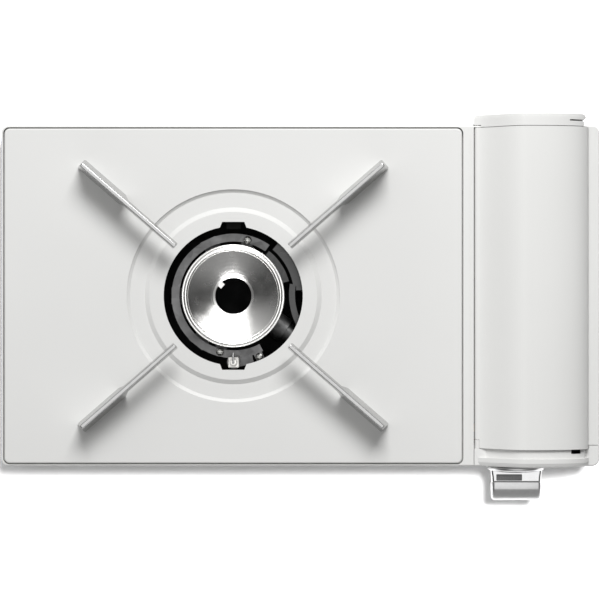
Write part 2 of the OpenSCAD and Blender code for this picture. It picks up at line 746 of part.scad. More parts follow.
pipe_y = y_front + pipe_in;
pipe_bend_r = 18;
pipe_corner = (mid_y - pipe_y) / sin(tube_angle);
tube_end = pipe_corner - 32;
jet_at = tube_end + 8;
pipe_tangent = pipe_bend_r * tan(tube_angle / 2);
pipe_corner_x = burner_x + pipe_corner * cos(tube_angle);

// Bracket that holds the tube mouth and the jet in line
module jet_bracket() color([0.7, 0.7, 0.7]) {
  at_burner(-tube_angle) difference() {
    union() {
      block(tube_end - 16, tube_end - 14.8, -12, 12, base_top, tube_z + 12);
      block(jet_at + 3, jet_at + 4.2, -12, 12, base_top, tube_z + 8);
      block(tube_end - 16, jet_at + 4.2, -12, 12, base_top, base_top + 1.2);
    }
    rod_x(tube_end - 18, 0, tube_z, tube_r + slip_gap, 6);
    rod_x(jet_at + 1, 0, tube_z, pipe_r + slip_gap, 6);
  }
}

module gas_jet() color([0.75, 0.6, 0.3]) {
  at_burner(-tube_angle) difference() {
    union() {
      rod_x(jet_at - 3, 0, tube_z, 1.6, 3.1);
      translate([jet_at, 0, tube_z]) rotate([0, 90, 0]) cylinder(r = 4, h = 2.9, $fn = 6);
    }
    rod_x(jet_at - 4, 0, tube_z, 0.5, 8);
  }
}

module gas_pipe() color([0.75, 0.6, 0.3]) {
  at_burner(-tube_angle)
    rod_x(jet_at + 3, 0, tube_z, pipe_r, pipe_corner - pipe_tangent - jet_at - 3);
  translate([pipe_corner_x + pipe_tangent, pipe_y + pipe_bend_r, tube_z])
    rotate([0, 0, -90 - tube_angle]) rotate_extrude(angle = tube_angle)
      translate([pipe_bend_r, 0]) circle(pipe_r);
  x0 = pipe_corner_x + pipe_tangent;
  rod_x(x0, pipe_y, tube_z, pipe_r, block_x0 - 4 - x0);
  // brazed sleeves over the two joints of the bend
  rod_x(x0 - 1.5, pipe_y, tube_z, pipe_r + 0.5, 3);
  at_burner(-tube_angle) rod_x(pipe_corner - pipe_tangent - 1.5, 0, tube_z, pipe_r + 0.5, 3);
}

// Strip that carries burner warmth to the cartridge
panel_y0 = mid_y + 4;
panel_y1 = mid_y + 20;
panel_t = 1;
panel_z = ring_z + 3;
panel_r = cart_r + 0.8;
strap_w = 4.2;
strap_drop = 0.35;
strap_bow = 44.6;    // radius of the strap's curve
module heat_panel() color([0.8, 0.8, 0.8]) {
  // plate beside the burner
  plate_in = ring_out - 1.4;
  at_burner(9) rotate_extrude(angle = 41)
    translate([plate_in, panel_z]) square([opening_r + 0.3 - plate_in, panel_t]);
  // strap that curves past the burner's right side to the front, a little lower than the plate
  at_burner() translate([plate_in + strap_bow, 1, panel_z - strap_drop]) rotate([0, 0, 171])
    rotate_extrude(angle = 37.5) translate([strap_bow - 0.6, 0]) square([strap_w, panel_t]);
  xa = burner_x + ring_out;
  xb = cart_x - panel_r * cos(asin((panel_z - cart_z) / panel_r));
  block(xa, xb - 0.2, panel_y0, panel_y1, panel_z, panel_z + panel_t);
  // saddle that follows the cartridge
  translate([cart_x, panel_y1, cart_z]) rotate([90, 0, 0]) rotate([0, 0, 168])
    rotate_extrude_arc(panel_r, panel_t, panel_y1 - panel_y0, 52);
}

// Curved strip: inner radius r, thickness t, width w, over an angle
module rotate_extrude_arc(r, t, w, angle) {
  rotate_extrude(angle = angle) translate([r, 0]) square([t, w]);
}

// ---------- igniter ----------

insulator_r = 3;
insulator_z0 = ring_z - 10;
insulator_z1 = deck_z - 2;
needle_r = 0.8;
needle_tip_r = cap_r + 3.8;
needle_z = deck_z + 1.2;

module electrode_insulator() color([0.95, 0.95, 0.93]) {
  at_burner(-90) difference() {
    union() {
      rod_z(electrode_r, 0, insulator_z0, insulator_r, insulator_z1 - insulator_z0 - 5);
      rod_z(electrode_r, 0, insulator_z1 - 5 - eps, insulator_r - 0.7, 5);
      rod_z(electrode_r, 0, ring_z + ring_t + 1.4, insulator_r + 0.9, 4);
    }
    rod_z(electrode_r, 0, insulator_z0 - 1, needle_r + slip_gap, 40);
  }
}

module electrode_needle() color([0.7, 0.7, 0.7]) {
  at_burner(-90) {
    rod_z(electrode_r, 0, insulator_z0 - 3, needle_r, needle_z - insulator_z0 + 3);
    translate([electrode_r, 0, needle_z]) sphere(needle_r);
    rod_x(needle_tip_r, 0, needle_z, needle_r, electrode_r - needle_tip_r);
  }
}

module electrode_bracket() color([0.6, 0.6, 0.6]) {
  z = ring_z + ring_t + 0.05;
  at_burner() difference() {
    union() {
      rotate([0, 0, -90]) rod_z(electrode_r, 0, z, insulator_r + 1.8, 1);
      rotate([0, 0, -78]) block(electrode_r - 3, electrode_r + 3, -9.5, 4, z, z + 1);
    }
    rotate([0, 0, -90]) rod_z(electrode_r, 0, z - 1, insulator_r + slip_gap, 4);
    rotate([0, 0, ear_angle]) rod_z(electrode_r, -1, z - 1, head_r + 0.2, 4);
  }
}

// Ignition lead along its clips, from the igniter to the electrode
lead_r = 1.2;
lead_y = y_front + 16.4;
lead_z = 9;
lead_in_z = 20;
lead_x0 = piezo_x0 + piezo_len - 8;
lead_x1 = burner_x;
lead_y1 = mid_y - electrode_r;
// Place on the straight run behind the front wall, as a share of the way from the burner to the bay
function lead_at(share) = [lead_x1 + share * (partition_x - lead_x1), lead_y, lead_z];
lead_points = [
  [lead_x0, cam_y, knob_z - piezo_w / 2 - 0.1], [lead_x0, cam_y, 26], [lead_x0, cam_y, 17],
  [lead_x0 - 1.5, cam_y, 12], [lead_x0 - 5, cam_y, 9.7], [lead_x0 - 10, cam_y, lead_z],
  [knob_x + 21, cam_y, lead_z], [knob_x + 6, cam_y, lead_z], [knob_x - 12, cam_y, lead_z],
  [knob_x - 20, cam_y + 2.5, lead_z], [knob_x - 25, lead_y - 0.8, lead_z],
  [partition_x + 3, lead_y, lead_z], lead_at(0.83), lead_at(0.65), lead_at(0.4), lead_at(0.22),
  [lead_x1 + 14, lead_y, lead_z], [lead_x1 + 6, lead_y + 1.8, lead_z],
  [lead_x1 + 1.8, lead_y + 6, lead_z], [lead_x1, lead_y + 13, lead_z],
  [lead_x1, lead_y + 28, 11], [lead_x1, lead_y + 40, 16], [lead_x1, lead_y + 50, lead_in_z],
  [lead_x1, lead_y1 - 6, lead_in_z], [lead_x1, lead_y1 - 2, lead_in_z + 1.2],
  [lead_x1, lead_y1 - 0.4, lead_in_z + 4], [lead_x1, lead_y1, insulator_z0 - 3.1]
];

function unit(v) = v / norm(v);
function tangent(p, i) = unit(p[min(i + 1, len(p) - 1)] - p[max(i - 1, 0)]);

// Tube of 8 sides swept along a list of points
module swept_tube(p, r) {
  n = 8;
  ref = unit([1, 1.3, 0.9]);
  rings = [for (i = [0:len(p) - 1])
    let (t = tangent(p, i), a = unit(cross(t, ref)), b = cross(t, a))
    for (k = [0:n - 1]) p[i] + r * (a * cos(360 * k / n) + b * sin(360 * k / n))];
  last = (len(p) - 1) * n;
  sides = [for (i = [0:len(p) - 2], k = [0:n - 1])
    let (k1 = (k + 1) % n)
    each [[i * n + k, (i + 1) * n + k, i * n + k1], [i * n + k1, (i + 1) * n + k, (i + 1) * n + k1]]];
  polyhedron(rings, concat(sides,
    [[for (k = [0:n - 1]) k]], [[for (k = [n - 1:-1:0]) last + k]]));
}

module ignition_lead() color([0.5, 0.1, 0.1]) swept_tube(lead_points, lead_r);

module lead_clips() color([0.75, 0.75, 0.75]) {
  for (x = [for (share = [0.9, 0.56, 0.25]) lead_at(share)[0]]) difference() {
    block(x - 2.5, x + 2.5, lead_y - 3, lead_y + 3, base_top, lead_z + 2.5);
    rod_x(x - 4, lead_y, lead_z, lead_r + slip_gap, 8);
  }
}

module piezo_igniter() color([0.15, 0.15, 0.15]) {
  h = piezo_w / 2;
  difference() {
    block(piezo_x0, piezo_x0 + piezo_len, cam_y - h, cam_y + h, knob_z - h, knob_z + h);
    rod_x(piezo_x0 - 1, cam_y, knob_z, plunger_r + run_gap, 19);
  }
}

module piezo_bracket() color([0.75, 0.75, 0.75]) {
  h = piezo_w / 2;
  x0 = piezo_x0 + 6;
  difference() {
    block(x0, x0 + 10, cam_y - h, cam_y + h, base_top, knob_z - h - 0.05);
    block(x0 - 1, x0 + 11, cam_y - h + 1.2, cam_y + h - 1.2, base_top + 1.2, knob_z - h - 1.2);
  }
}

module piezo_plunger() color([0.85, 0.85, 0.8]) {
  rod_x(knob_x + cam_r + cam_gap, cam_y, knob_z, plunger_r, 16.5);
}

// Spiral cam (x, z) that gains the stroke over the turn of the knob
module igniter_cam() color([0.85, 0.85, 0.82]) {
  gain = press_stroke / knob_turn;
  top = cam_r + press_stroke;
  points = concat(
    [for (a = [0:10:knob_turn]) (cam_r + gain * a) * [cos(a), -sin(a)]],
    [for (a = [knob_turn + 10, knob_turn + 20]) top * [cos(a), -sin(a)]],
    [for (a = [knob_turn + 60:10:350]) cam_r * [cos(a), -sin(a)]]);
  difference() {
    run_y(cam_y - cam_w / 2, cam_y + cam_w / 2) translate([knob_x, knob_z]) polygon(points);
    rod_y(knob_x, cam_y - cam_w, knob_z, shaft_r + run_gap, 2 * cam_w);
  }
}

// ---------- knob ----------

module knob_bezel() color([0.85, 0.85, 0.85]) {
  difference() {
    rod_y(knob_x, y_front - bezel_t, knob_z, knob_r + 0.6, bezel_t);
    rod_y(knob_x, y_front - 2, knob_z, knob_bore_r, 4);
  }
}

shaft_in = 8;        // how far the shaft reaches into the handle
grip_len = 14;
neck_h = 11;
grip_f = 2;
grip_y = knob_y1 + grip_len;

// Section (y, z) of the handle bar, about the knob axis
module grip_section() {
  front_r = 5.5;
  h = grip_h / 2;
  translate([knob_y1 + front_r, -h]) square([grip_len - front_r - grip_f, grip_h]);
  translate([knob_y1, -h + front_r]) square([grip_len, grip_h - 2 * front_r]);
  translate([grip_y - grip_f - 1, -h + grip_f]) square([grip_f + 1, grip_h - 2 * grip_f]);
  for (m = [-1, 1]) {
    translate([knob_y1 + front_r, m * (h - front_r)]) circle(front_r);
    translate([grip_y - grip_f, m * (h - grip_f)]) circle(grip_f);
  }
}

module knob() color([0.75, 0.75, 0.75]) {
  neck_y = knob_y0 - 3;
  difference() {
    union() {
      // flange with a rounded edge
      translate([knob_x, knob_y0, knob_z]) rotate([90, 0, 0]) rotate_extrude() {
        square([knob_r, 2]);
        square([knob_r - 1, 3]);
        translate([knob_r - 1, 2]) circle(1);
      }
      // neck
      intersection() {
        translate([knob_x, neck_y + eps, knob_z]) rotate([90, 0, 0])
          cylinder(r1 = knob_r - 1.5, r2 = knob_r - 2.5, h = neck_y - grip_y + 2);
        block(knob_x - knob_r, knob_x + knob_r, grip_y - 3, neck_y + 1,
          knob_z - neck_h / 2, knob_z + neck_h / 2);
      }
      // handle bar: deep rounding in front, small rounding elsewhere
      intersection() {
        translate([knob_x - grip_w / 2, 0, knob_z]) rotate([90, 0, 90]) linear_extrude(grip_w) grip_section();
        translate([0, 0, knob_z - grip_h]) linear_extrude(2 * grip_h)
          plan(knob_x - grip_w / 2, knob_x + grip_w / 2, knob_y1, grip_y, grip_f);
        run_y(knob_y1 - 1, grip_y + 1)
          plan(knob_x - grip_w / 2, knob_x + grip_w / 2, knob_z - grip_h / 2, knob_z + grip_h / 2,
            grip_f + 1);
      }
    }
    rod_y(knob_x, knob_y0 - shaft_in - 0.2, knob_z, shaft_r + run_gap, shaft_in + 2);
  }
}

module knob_shaft() color([0.75, 0.6, 0.3]) {
  y0 = knob_y0 - shaft_in;
  rod_y(knob_x, y0, knob_z, shaft_r, block_y0 + 12 - y0);
}

// ---------- regulator ----------

cover_r = 17;
chamber_r = 12.5;
cover_x = cart_x - 3;
cover_y = block_y1 - cover_r - 0.5;
cover_h = 11;
cover_flange_t = 2.5;
cover_pitch_r = cover_r - 2.1;
cover_screws_at = [for (a = [45:90:315])
  [cover_x + cover_pitch_r * cos(a), cover_y + cover_pitch_r * sin(a)]];
block_feet_at = [[block_x0 + 6, cover_y], [block_x1 - 10, cover_y]];

module regulator_body() color([0.68, 0.68, 0.68]) {
  difference() {
    union() {
      block(block_x0, block_x1, block_y0, block_y1, block_z0, block_z1);
      rod_z(cover_x, cover_y, block_z1 - cover_flange_t, cover_r, cover_flange_t);
      rod_y(cart_x, block_y1 - eps, cart_z, 22, flange_t);
      rod_y(cart_x, flange_y - eps - 0.5, cart_z, 6, 2);
      rod_x(block_x0 - 4, pipe_y, tube_z, 5, 4.1);
      for (p = block_feet_at) rod_z(p[0], p[1], base_top, 5, block_z0 - base_top + 1);
    }
    // gas inlet and the groove of its seal
    rod_y(cart_x, flange_y + 1.5 - inlet_len, cart_z, inlet_r, inlet_len + 1);
    // knob shaft, gas outlet and the room under the diaphragm
    rod_y(knob_x, block_y0 - 1, knob_z, shaft_r + run_gap, 14);
    rod_z(cover_x, cover_y, block_z1 - 1.5, chamber_r, 5);
    for (p = block_feet_at) rod_z(p[0], p[1], base_top - 1, pilot_r, 9);
    for (p = cover_screws_at) rod_z(p[0], p[1], block_z1 - 8, pilot_r, 9);
  }
}

module regulator_diaphragm() color([0.1, 0.1, 0.1]) {
  difference() {
    rod_z(cover_x, cover_y, block_z1, cover_r - 0.3, 1);
    for (p = cover_screws_at) rod_z(p[0], p[1], block_z1 - 1, pilot_r, 3);
  }
}

// Coil spring that loads the diaphragm
module regulator_spring() color([0.7, 0.7, 0.7]) {
  turns = 5;
  steps = 14;
  r = 7;
  wire = 0.7;
  z0 = block_z1 + 1 + wire + 0.3;
  pitch = (cover_h - 3.6 - 2 * wire) / turns;
  echo("least gap between turns", pitch - 2 * wire);
  swept_tube([for (i = [0:turns * steps])
    [cover_x + r * cos(360 * i / steps), cover_y + r * sin(360 * i / steps), z0 + pitch * i / steps]],
    wire);
}

module regulator_cover() color([0.78, 0.78, 0.78]) {
  z0 = block_z1 + 1;
  difference() {
    union() {
      rod_z(cover_x, cover_y, z0, cover_r, 2);
      rod_z(cover_x, cover_y, z0, 12, cover_h);
    }
    rod_z(cover_x, cover_y, z0 - 1, 10, cover_h - 1);
    for (p = cover_screws_at) rod_z(p[0], p[1], z0 - 1, pilot_r, 4);
  }
}

module regulator_screws() color([0.7, 0.7, 0.7]) {
  for (p = cover_screws_at) {
    rod_z(p[0], p[1], block_z1 + 3, 2.1, head_h);
    rod_z(p[0], p[1], block_z1 - cover_flange_t, screw_r, cover_flange_t + 3 + eps);
  }
  for (p = block_feet_at) screw_up(p[0], p[1], foot_h - head_h, base_t + 6);
}

module inlet_seal() color([0.1, 0.1, 0.1]) {
  translate([cart_x, flange_y + 1.5, cart_z]) rotate([-90, 0, 0]) rotate_extrude()
    translate([inlet_r + 0.3, 0]) square([2, 1.2]);
}

module magnet_ring() color([0.35, 0.35, 0.36]) {
  difference() {
    rod_y(cart_x, flange_y, cart_z, magnet_r, magnet_t - 0.5);
    rod_y(cart_x, flange_y - 1, cart_z, magnet_r - 6, magnet_t + 2);
  }
}

// Key that fits the notch in the cartridge collar
module guide_key() color([0.75, 0.75, 0.75]) {
  block(cart_x - 2.5, cart_x + 2.5, flange_y, seat_y + 2.5, cart_z + 18.5, cart_z + 21.5);
}

// Two rails that the cartridge rolls to rest between
module cartridge_cradle() color([0.2, 0.2, 0.2]) {
  for (m = [-1, 1]) difference() {
    block(cart_x + m * 20 - 6, cart_x + m * 20 + 6, seat_y + 10, y_rear - 28, base_top, base_top + 10.5);
    rod_y(cart_x, seat_y, cart_z, cart_r + 0.4, cart_len);
  }
}

// ---------- lift-off plate with the pan supports ----------

// Outline of the burner opening with its two notches
module opening() {
  circle(opening_r);
  for (m = [0, 1]) mirror([0, m])
    polygon([[-notch_w / 2 - 2, opening_r - 6], [-notch_w / 2 - 1.6, opening_r - 1],
      [-notch_w / 2, notch_reach], [notch_w / 2, notch_reach], [notch_w / 2 + 1.6, opening_r - 1],
      [notch_w / 2 + 2, opening_r - 6]]);
}

arm_names = [180 - arm_angle, arm_angle, 180 + arm_angle, -arm_angle];
arm_screw_r = [arm_r_out - 28, arm_r_out - 10];

module top_plate() color([0.88, 0.88, 0.86]) {
  slope = 3.2;
  lip = 2;
  difference() {
    union() {
      difference() {
        soft_block(plate_x0, plate_x1, plate_y0, plate_y1, deck_z - skirt_h, deck_z, plate_r, edge_r);
        slab(plate_x0 + plate_t, plate_x1 - plate_t, plate_y0 + plate_t, plate_y1 - plate_t,
             deck_z - skirt_h - 1, deck_z - plate_t, plate_r - plate_t);
        at_burner() rod_z(0, 0, deck_z - skirt_h - 1, trough_r_out - 1, 10);
      }
      // pressed trough
      at_burner() rotate_extrude() polygon([
        [trough_r_out, deck_z], [trough_r_out - slope, deck_z - trough_depth],
        [trough_r_in + slope, deck_z - trough_depth], [trough_r_in, deck_z],
        [opening_r - 6, deck_z], [opening_r - 6, deck_z - plate_t],
        [trough_r_in + 0.4, deck_z - plate_t], [trough_r_in + slope + 0.3, deck_z - trough_depth - plate_t],
        [trough_r_out - slope - 0.3, deck_z - trough_depth - plate_t],
        [trough_r_out - 0.4, deck_z - plate_t]]);
    }
    at_burner() translate([0, 0, deck_z - 10]) linear_extrude(20) opening();
    for (a = arm_names, r = arm_screw_r) at_burner(a) rod_z(r, 0, deck_z - 5, pilot_r, 10);
  }
}

// One drafted arm along +X of its own angle
module arm(a) {
  top = deck_z + rest_h;
  leg_x = arm_r_out - leg_len;
  low = 0.02;
  wide = arm_top_w / 2 + arm_draft * (rest_h - 0.6);
  at_burner(a) difference() {
    intersection() {
      translate([0, 20, 0]) rotate([90, 0, 0]) linear_extrude(40) polygon([
        [arm_r_in, top - 1], [arm_r_in + 1, top], [arm_r_out - 3.4, top], [arm_r_out - 2.4, top - 1],
        [arm_r_out, deck_z + low], [leg_x, deck_z + low], [leg_x - 5, top - bar_h],
        [arm_r_in + 0.6, top - bar_h]]);
      rotate([90, 0, 90]) linear_extrude(arm_r_out + 1) polygon([
        [-arm_top_w / 2 + 0.4, top], [arm_top_w / 2 - 0.4, top], [arm_top_w / 2 + 0.1, top - 0.6],
        [wide, deck_z], [-wide, deck_z], [-arm_top_w / 2 - 0.1, top - 0.6]]);
    }
    for (r = arm_screw_r) rod_z(r, 0, deck_z - 1, pilot_r, 9);
  }
}

module arm_rear_left() color([0.7, 0.7, 0.7]) arm(arm_names[0]);
module arm_rear_right() color([0.7, 0.7, 0.7]) arm(arm_names[1]);
module arm_front_left() color([0.7, 0.7, 0.7]) arm(arm_names[2]);
module arm_front_right() color([0.7, 0.7, 0.7]) arm(arm_names[3]);

module arm_screws() color([0.7, 0.7, 0.7]) {
  for (a = arm_names, r = arm_screw_r) at_burner(a)
    screw_up(r, 0, deck_z - plate_t - head_h, plate_t + 6.5);
}

// ---------- lid ----------

module cartridge_lid() color([0.91, 0.91, 0.9]) {
  difference() {
    intersection() {
      union() {
        run_y(lid_y0, lid_y1) arch_sheet(lid_t);
        run_y(lid_y0, lid_y1) translate([hinge_x, hinge_z]) circle(barrel_r);
      }
      slab(hinge_x - barrel_r - eps, lid_x1 + 10, lid_y0, lid_y1 + 20, 0, deck_z + lid_rise + 1,
        lid_corner_r);
    }
    // the front end of the barrel makes room for the boss of the hinge pin
    rod_y(hinge_x, lid_y0 - 1, hinge_z, barrel_r + 0.4, pin_boss_y + 0.3 - lid_y0 + 1);
    rod_y(hinge_x, lid_y0 - 1, hinge_z, pin_r + run_gap, 16);
    rod_y(hinge_x, y_rear - 10, hinge_z, pin_r + run_gap, 16);
  }
}

module lid_bumpers() color([0.85, 0.85, 0.85]) {
  for (y = [lid_y0 + 28, lid_y1 - 28]) run_y(y - 5, y + 5) intersection() {
    translate([lid_x1 - lid_t - 2.6, deck_z + 0.1]) square([4, 4]);
    arch(lid_t + 0.05, deck_z - 4);
  }
}

body_shell();
base_plate();
rubber_feet();
foot_screws();
base_screws();
bay_partition();
front_cap();
rear_cap();
rear_cap_screws();
hinge_pins();
burner_well();
burner_bracket();
burner_body();
port_ring();
burner_cap();
burner_screws();
mixing_tube();
jet_bracket();
gas_jet();
gas_pipe();
heat_panel();
electrode_insulator();
electrode_needle();
electrode_bracket();
ignition_lead();
lead_clips();
piezo_igniter();
piezo_bracket();
knob_bezel();
regulator_body();
regulator_diaphragm();
regulator_spring();
regulator_cover();
regulator_screws();
inlet_seal();
magnet_ring();
guide_key();
cartridge_cradle();
top_plate();
arm_front_left();
arm_front_right();
arm_rear_left();
arm_rear_right();
arm_screws();
cartridge_lid();
lid_bumpers();
knob();
knob_shaft();
igniter_cam();
piezo_plunger();
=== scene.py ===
import json
import math

import bmesh
import bpy
from mathutils import Matrix, Vector


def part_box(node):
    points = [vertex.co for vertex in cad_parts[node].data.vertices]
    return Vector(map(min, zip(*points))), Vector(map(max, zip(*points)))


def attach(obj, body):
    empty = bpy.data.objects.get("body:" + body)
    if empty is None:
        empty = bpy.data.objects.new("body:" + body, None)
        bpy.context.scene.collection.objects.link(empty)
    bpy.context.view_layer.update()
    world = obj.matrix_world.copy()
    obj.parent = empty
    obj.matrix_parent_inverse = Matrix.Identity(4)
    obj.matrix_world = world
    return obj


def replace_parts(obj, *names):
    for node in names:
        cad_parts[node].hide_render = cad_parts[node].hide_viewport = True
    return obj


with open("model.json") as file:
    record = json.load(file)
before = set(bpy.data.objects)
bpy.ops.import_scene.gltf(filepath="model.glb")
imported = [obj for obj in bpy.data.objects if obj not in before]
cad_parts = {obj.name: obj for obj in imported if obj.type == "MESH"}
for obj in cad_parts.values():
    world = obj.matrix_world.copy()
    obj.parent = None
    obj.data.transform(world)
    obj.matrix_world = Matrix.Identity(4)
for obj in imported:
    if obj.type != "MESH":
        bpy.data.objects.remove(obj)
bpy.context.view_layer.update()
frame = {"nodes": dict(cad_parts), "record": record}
scene = bpy.context.scene
nodes = frame["nodes"]

# ---------- camera: straight down, as in the photograph ----------

CAM_X, CAM_Y, CAM_Z = -0.0002, 0.0061, 1.558
FIELD_DEG = 15.94
cam_data = bpy.data.cameras.new("camera")
cam_data.sensor_width = 36
cam_data.lens = 18 / math.tan(math.radians(FIELD_DEG / 2))
cam_data.clip_start = 0.01
cam = bpy.data.objects.new("camera", cam_data)
scene.collection.objects.link(cam)
cam.location = (CAM_X, CAM_Y, CAM_Z)
cam.rotation_euler = (0, 0, 0)
scene.camera = cam

# ---------- node materials ----------


class Shader:
    """A Principled material with short calls for its procedural parts, in object coordinates (metres)."""

    def __init__(self, name, color, rough, metal=0.0, **sockets):
        self.mat = bpy.data.materials.new(name)
        self.mat.use_nodes = True
        self.tree = self.mat.node_tree
        self.bsdf = self.tree.nodes["Principled BSDF"]
        self.coord = self.tree.nodes.new("ShaderNodeTexCoord")
        self.color = color
        self.set("Base Color", (*color, 1))
        self.set("Roughness", rough)
        self.set("Metallic", metal)
        for key, value in sockets.items():
            self.set(key.replace("_", " "), value)
        self.height = None

    def set(self, socket, value):
        self.bsdf.inputs[socket].default_value = value

    def link(self, a, b):
        self.tree.links.new(a, b)

    def node(self, kind, **props):
        n = self.tree.nodes.new(kind)
        for key, value in props.items():
            setattr(n, key, value)
        return n

    def place(self, stretch=(1, 1, 1), turn=(0, 0, 0), at=(0, 0, 0)):
        m = self.node("ShaderNodeMapping")
        m.inputs["Scale"].default_value = stretch
        m.inputs["Rotation"].default_value = turn
        m.inputs["Location"].default_value = at
        self.link(self.coord.outputs["Object"], m.inputs["Vector"])
        return m.outputs["Vector"]

    def noise(self, scale, detail=3.0, rough=0.5, vector=None):
        n = self.node("ShaderNodeTexNoise")
        n.inputs["Scale"].default_value = scale
        n.inputs["Detail"].default_value = detail
        n.inputs["Roughness"].default_value = rough
        self.link(vector or self.coord.outputs["Object"], n.inputs["Vector"])
        return n.outputs["Fac"]

    def cells(self, scale, vector=None):
        n = self.node("ShaderNodeTexVoronoi")
        n.inputs["Scale"].default_value = scale
        self.link(vector or self.coord.outputs["Object"], n.inputs["Vector"])
        return n.outputs

    def spread(self, fac, low, high, lo_in=0.3, hi_in=0.7):
        n = self.node("ShaderNodeMapRange")
        n.inputs["From Min"].default_value = lo_in
        n.inputs["From Max"].default_value = hi_in
        n.inputs["To Min"].default_value = low
        n.inputs["To Max"].default_value = high
        self.link(fac, n.inputs["Value"])
        return n.outputs["Result"]

    def tint(self, fac, dark, light, lo_in=0.3, hi_in=0.7):
        """Base colour between two colours by a factor."""
        ramp = self.node("ShaderNodeValToRGB")
        ramp.color_ramp.elements[0].position = lo_in
        ramp.color_ramp.elements[1].position = hi_in
        ramp.color_ramp.elements[0].color = (*dark, 1)
        ramp.color_ramp.elements[1].color = (*light, 1)
        self.link(fac, ramp.inputs["Fac"])
        self.link(ramp.outputs["Color"], self.bsdf.inputs["Base Color"])
        return self

    def vary(self, fac, amount, lo_in=0.3, hi_in=0.7):
        """Base colour a little darker and lighter around its own value."""
        dark = [c * (1 - amount) for c in self.color]
        light = [min(1.0, c * (1 + amount)) for c in self.color]
        return self.tint(fac, dark, light, lo_in, hi_in)

    def gloss(self, fac, low, high):
        self.link(self.spread(fac, low, high), self.bsdf.inputs["Roughness"])
        return self

    def bump(self, height, depth, strength=1.0):
        """Bump of a real depth in metres; calls stack."""
        n = self.node("ShaderNodeBump")
        n.inputs["Strength"].default_value = strength
        n.inputs["Distance"].default_value = depth
        self.link(height, n.inputs["Height"])
        if self.height is not None:
            self.link(self.height, n.inputs["Normal"])
        self.height = n.outputs["Normal"]
        self.link(self.height, self.bsdf.inputs["Normal"])
        return self


def painted(name, color, rough):
    s = Shader(name, color, rough, Specular_IOR_Level=0.25)
    s.vary(s.noise(9, 2), 0.012)
    s.gloss(s.noise(420, 2), rough - 0.03, rough + 0.04)
    s.bump(s.noise(1500, 2, 0.4), 0.000012)
    s.bump(s.noise(260, 1), 0.00001)
    return s


def plated(name, color, rough, grain=900, stretch=(1, 1, 1), vary=0.06):
    s = Shader(name, color, rough, 1.0)
    v = s.place(stretch)
    s.vary(s.noise(grain * 0.25, 3, 0.6, v), vary)
    s.gloss(s.noise(grain, 3, 0.5, v), rough - 0.06, rough + 0.07)
    s.bump(s.noise(grain * 1.6, 2, 0.5, v), 0.00001)
    return s


def moulded(name, color, rough, grain=2200, depth=0.00002):
    s = Shader(name, color, rough)
    s.vary(s.noise(14, 2), 0.02)
    s.gloss(s.noise(300, 2), rough - 0.03, rough + 0.03)
    s.bump(s.cells(grain)["Distance"], depth)
    return s


def spangled():
    s = Shader("m_galvanised_steel", (0.17, 0.17, 0.17), 0.42, 1.0)
    s.vary(s.cells(160)["Color"], 0.16, 0.1, 0.9)
    s.gloss(s.noise(220, 3), 0.34, 0.5)
    s.bump(s.noise(900, 2), 0.000008)
    return s


def turned(name, color, rough, centre, pitch=0.00042, depth=0.000006, aniso=0.85):
    """Metal turned about a vertical axis: round grooves and the streaks of light that they make."""
    s = Shader(name, color, rough, 1.0, Anisotropic=aniso)
    v = s.place(at=(-centre[0], -centre[1], 0))
    grooves = s.node("ShaderNodeTexWave", wave_type="RINGS", rings_direction="Z", wave_profile="SIN")
    grooves.inputs["Scale"].default_value = 1 / (pitch * 20)
    grooves.inputs["Distortion"].default_value = 0.0
    s.link(v, grooves.inputs["Vector"])
    s.bump(grooves.outputs["Fac"], depth)
    s.vary(s.noise(60, 3), 0.03)
    s.gloss(s.noise(140, 2), rough - 0.03, rough + 0.04)
    tangent = s.node("ShaderNodeTangent", direction_type="RADIAL", axis="Z")
    s.link(tangent.outputs["Tangent"], s.bsdf.inputs["Tangent"])
    return s


burner_lo, burner_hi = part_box("burner_cap")
burner_at = ((burner_lo.x + burner_hi.x) / 2, (burner_lo.y + burner_hi.y) / 2)

black_enamel = Shader("m_black_enamel", (0.003, 0.003, 0.0032), 0.5, Specular_IOR_Level=0.12)
black_enamel.vary(black_enamel.noise(30, 3), 0.5)
black_enamel.gloss(black_enamel.noise(90, 3), 0.4, 0.6)
black_enamel.bump(black_enamel.noise(420, 2), 0.00003)

cast = Shader("m_cast_alloy", (0.1, 0.1, 0.1), 0.5, 1.0)
cast.vary(cast.noise(120, 4), 0.2)
cast.gloss(cast.noise(300, 3), 0.42, 0.62)
cast.bump(cast.noise(800, 3), 0.00006)

arm_metal = Shader("m_cast_arm", (0.47, 0.47, 0.466), 0.24, 1.0)
arm_metal.vary(arm_metal.noise(300, 4, 0.6), 0.05)
arm_metal.gloss(arm_metal.noise(700, 3), 0.2, 0.28)
arm_metal.bump(arm_metal.noise(1300, 3), 0.00003)

ceramic = Shader("m_ceramic", (0.84, 0.83, 0.8), 0.28, Coat_Weight=0.5, Coat_Roughness=0.1)
ceramic.vary(ceramic.noise(200, 2), 0.03)
ceramic.bump(ceramic.noise(900, 2), 0.00001)

magnet = Shader("m_magnet", (0.07, 0.07, 0.074), 0.45, 0.6)
magnet.vary(magnet.noise(500, 3), 0.15)
magnet.bump(magnet.noise(1400, 2), 0.00001)

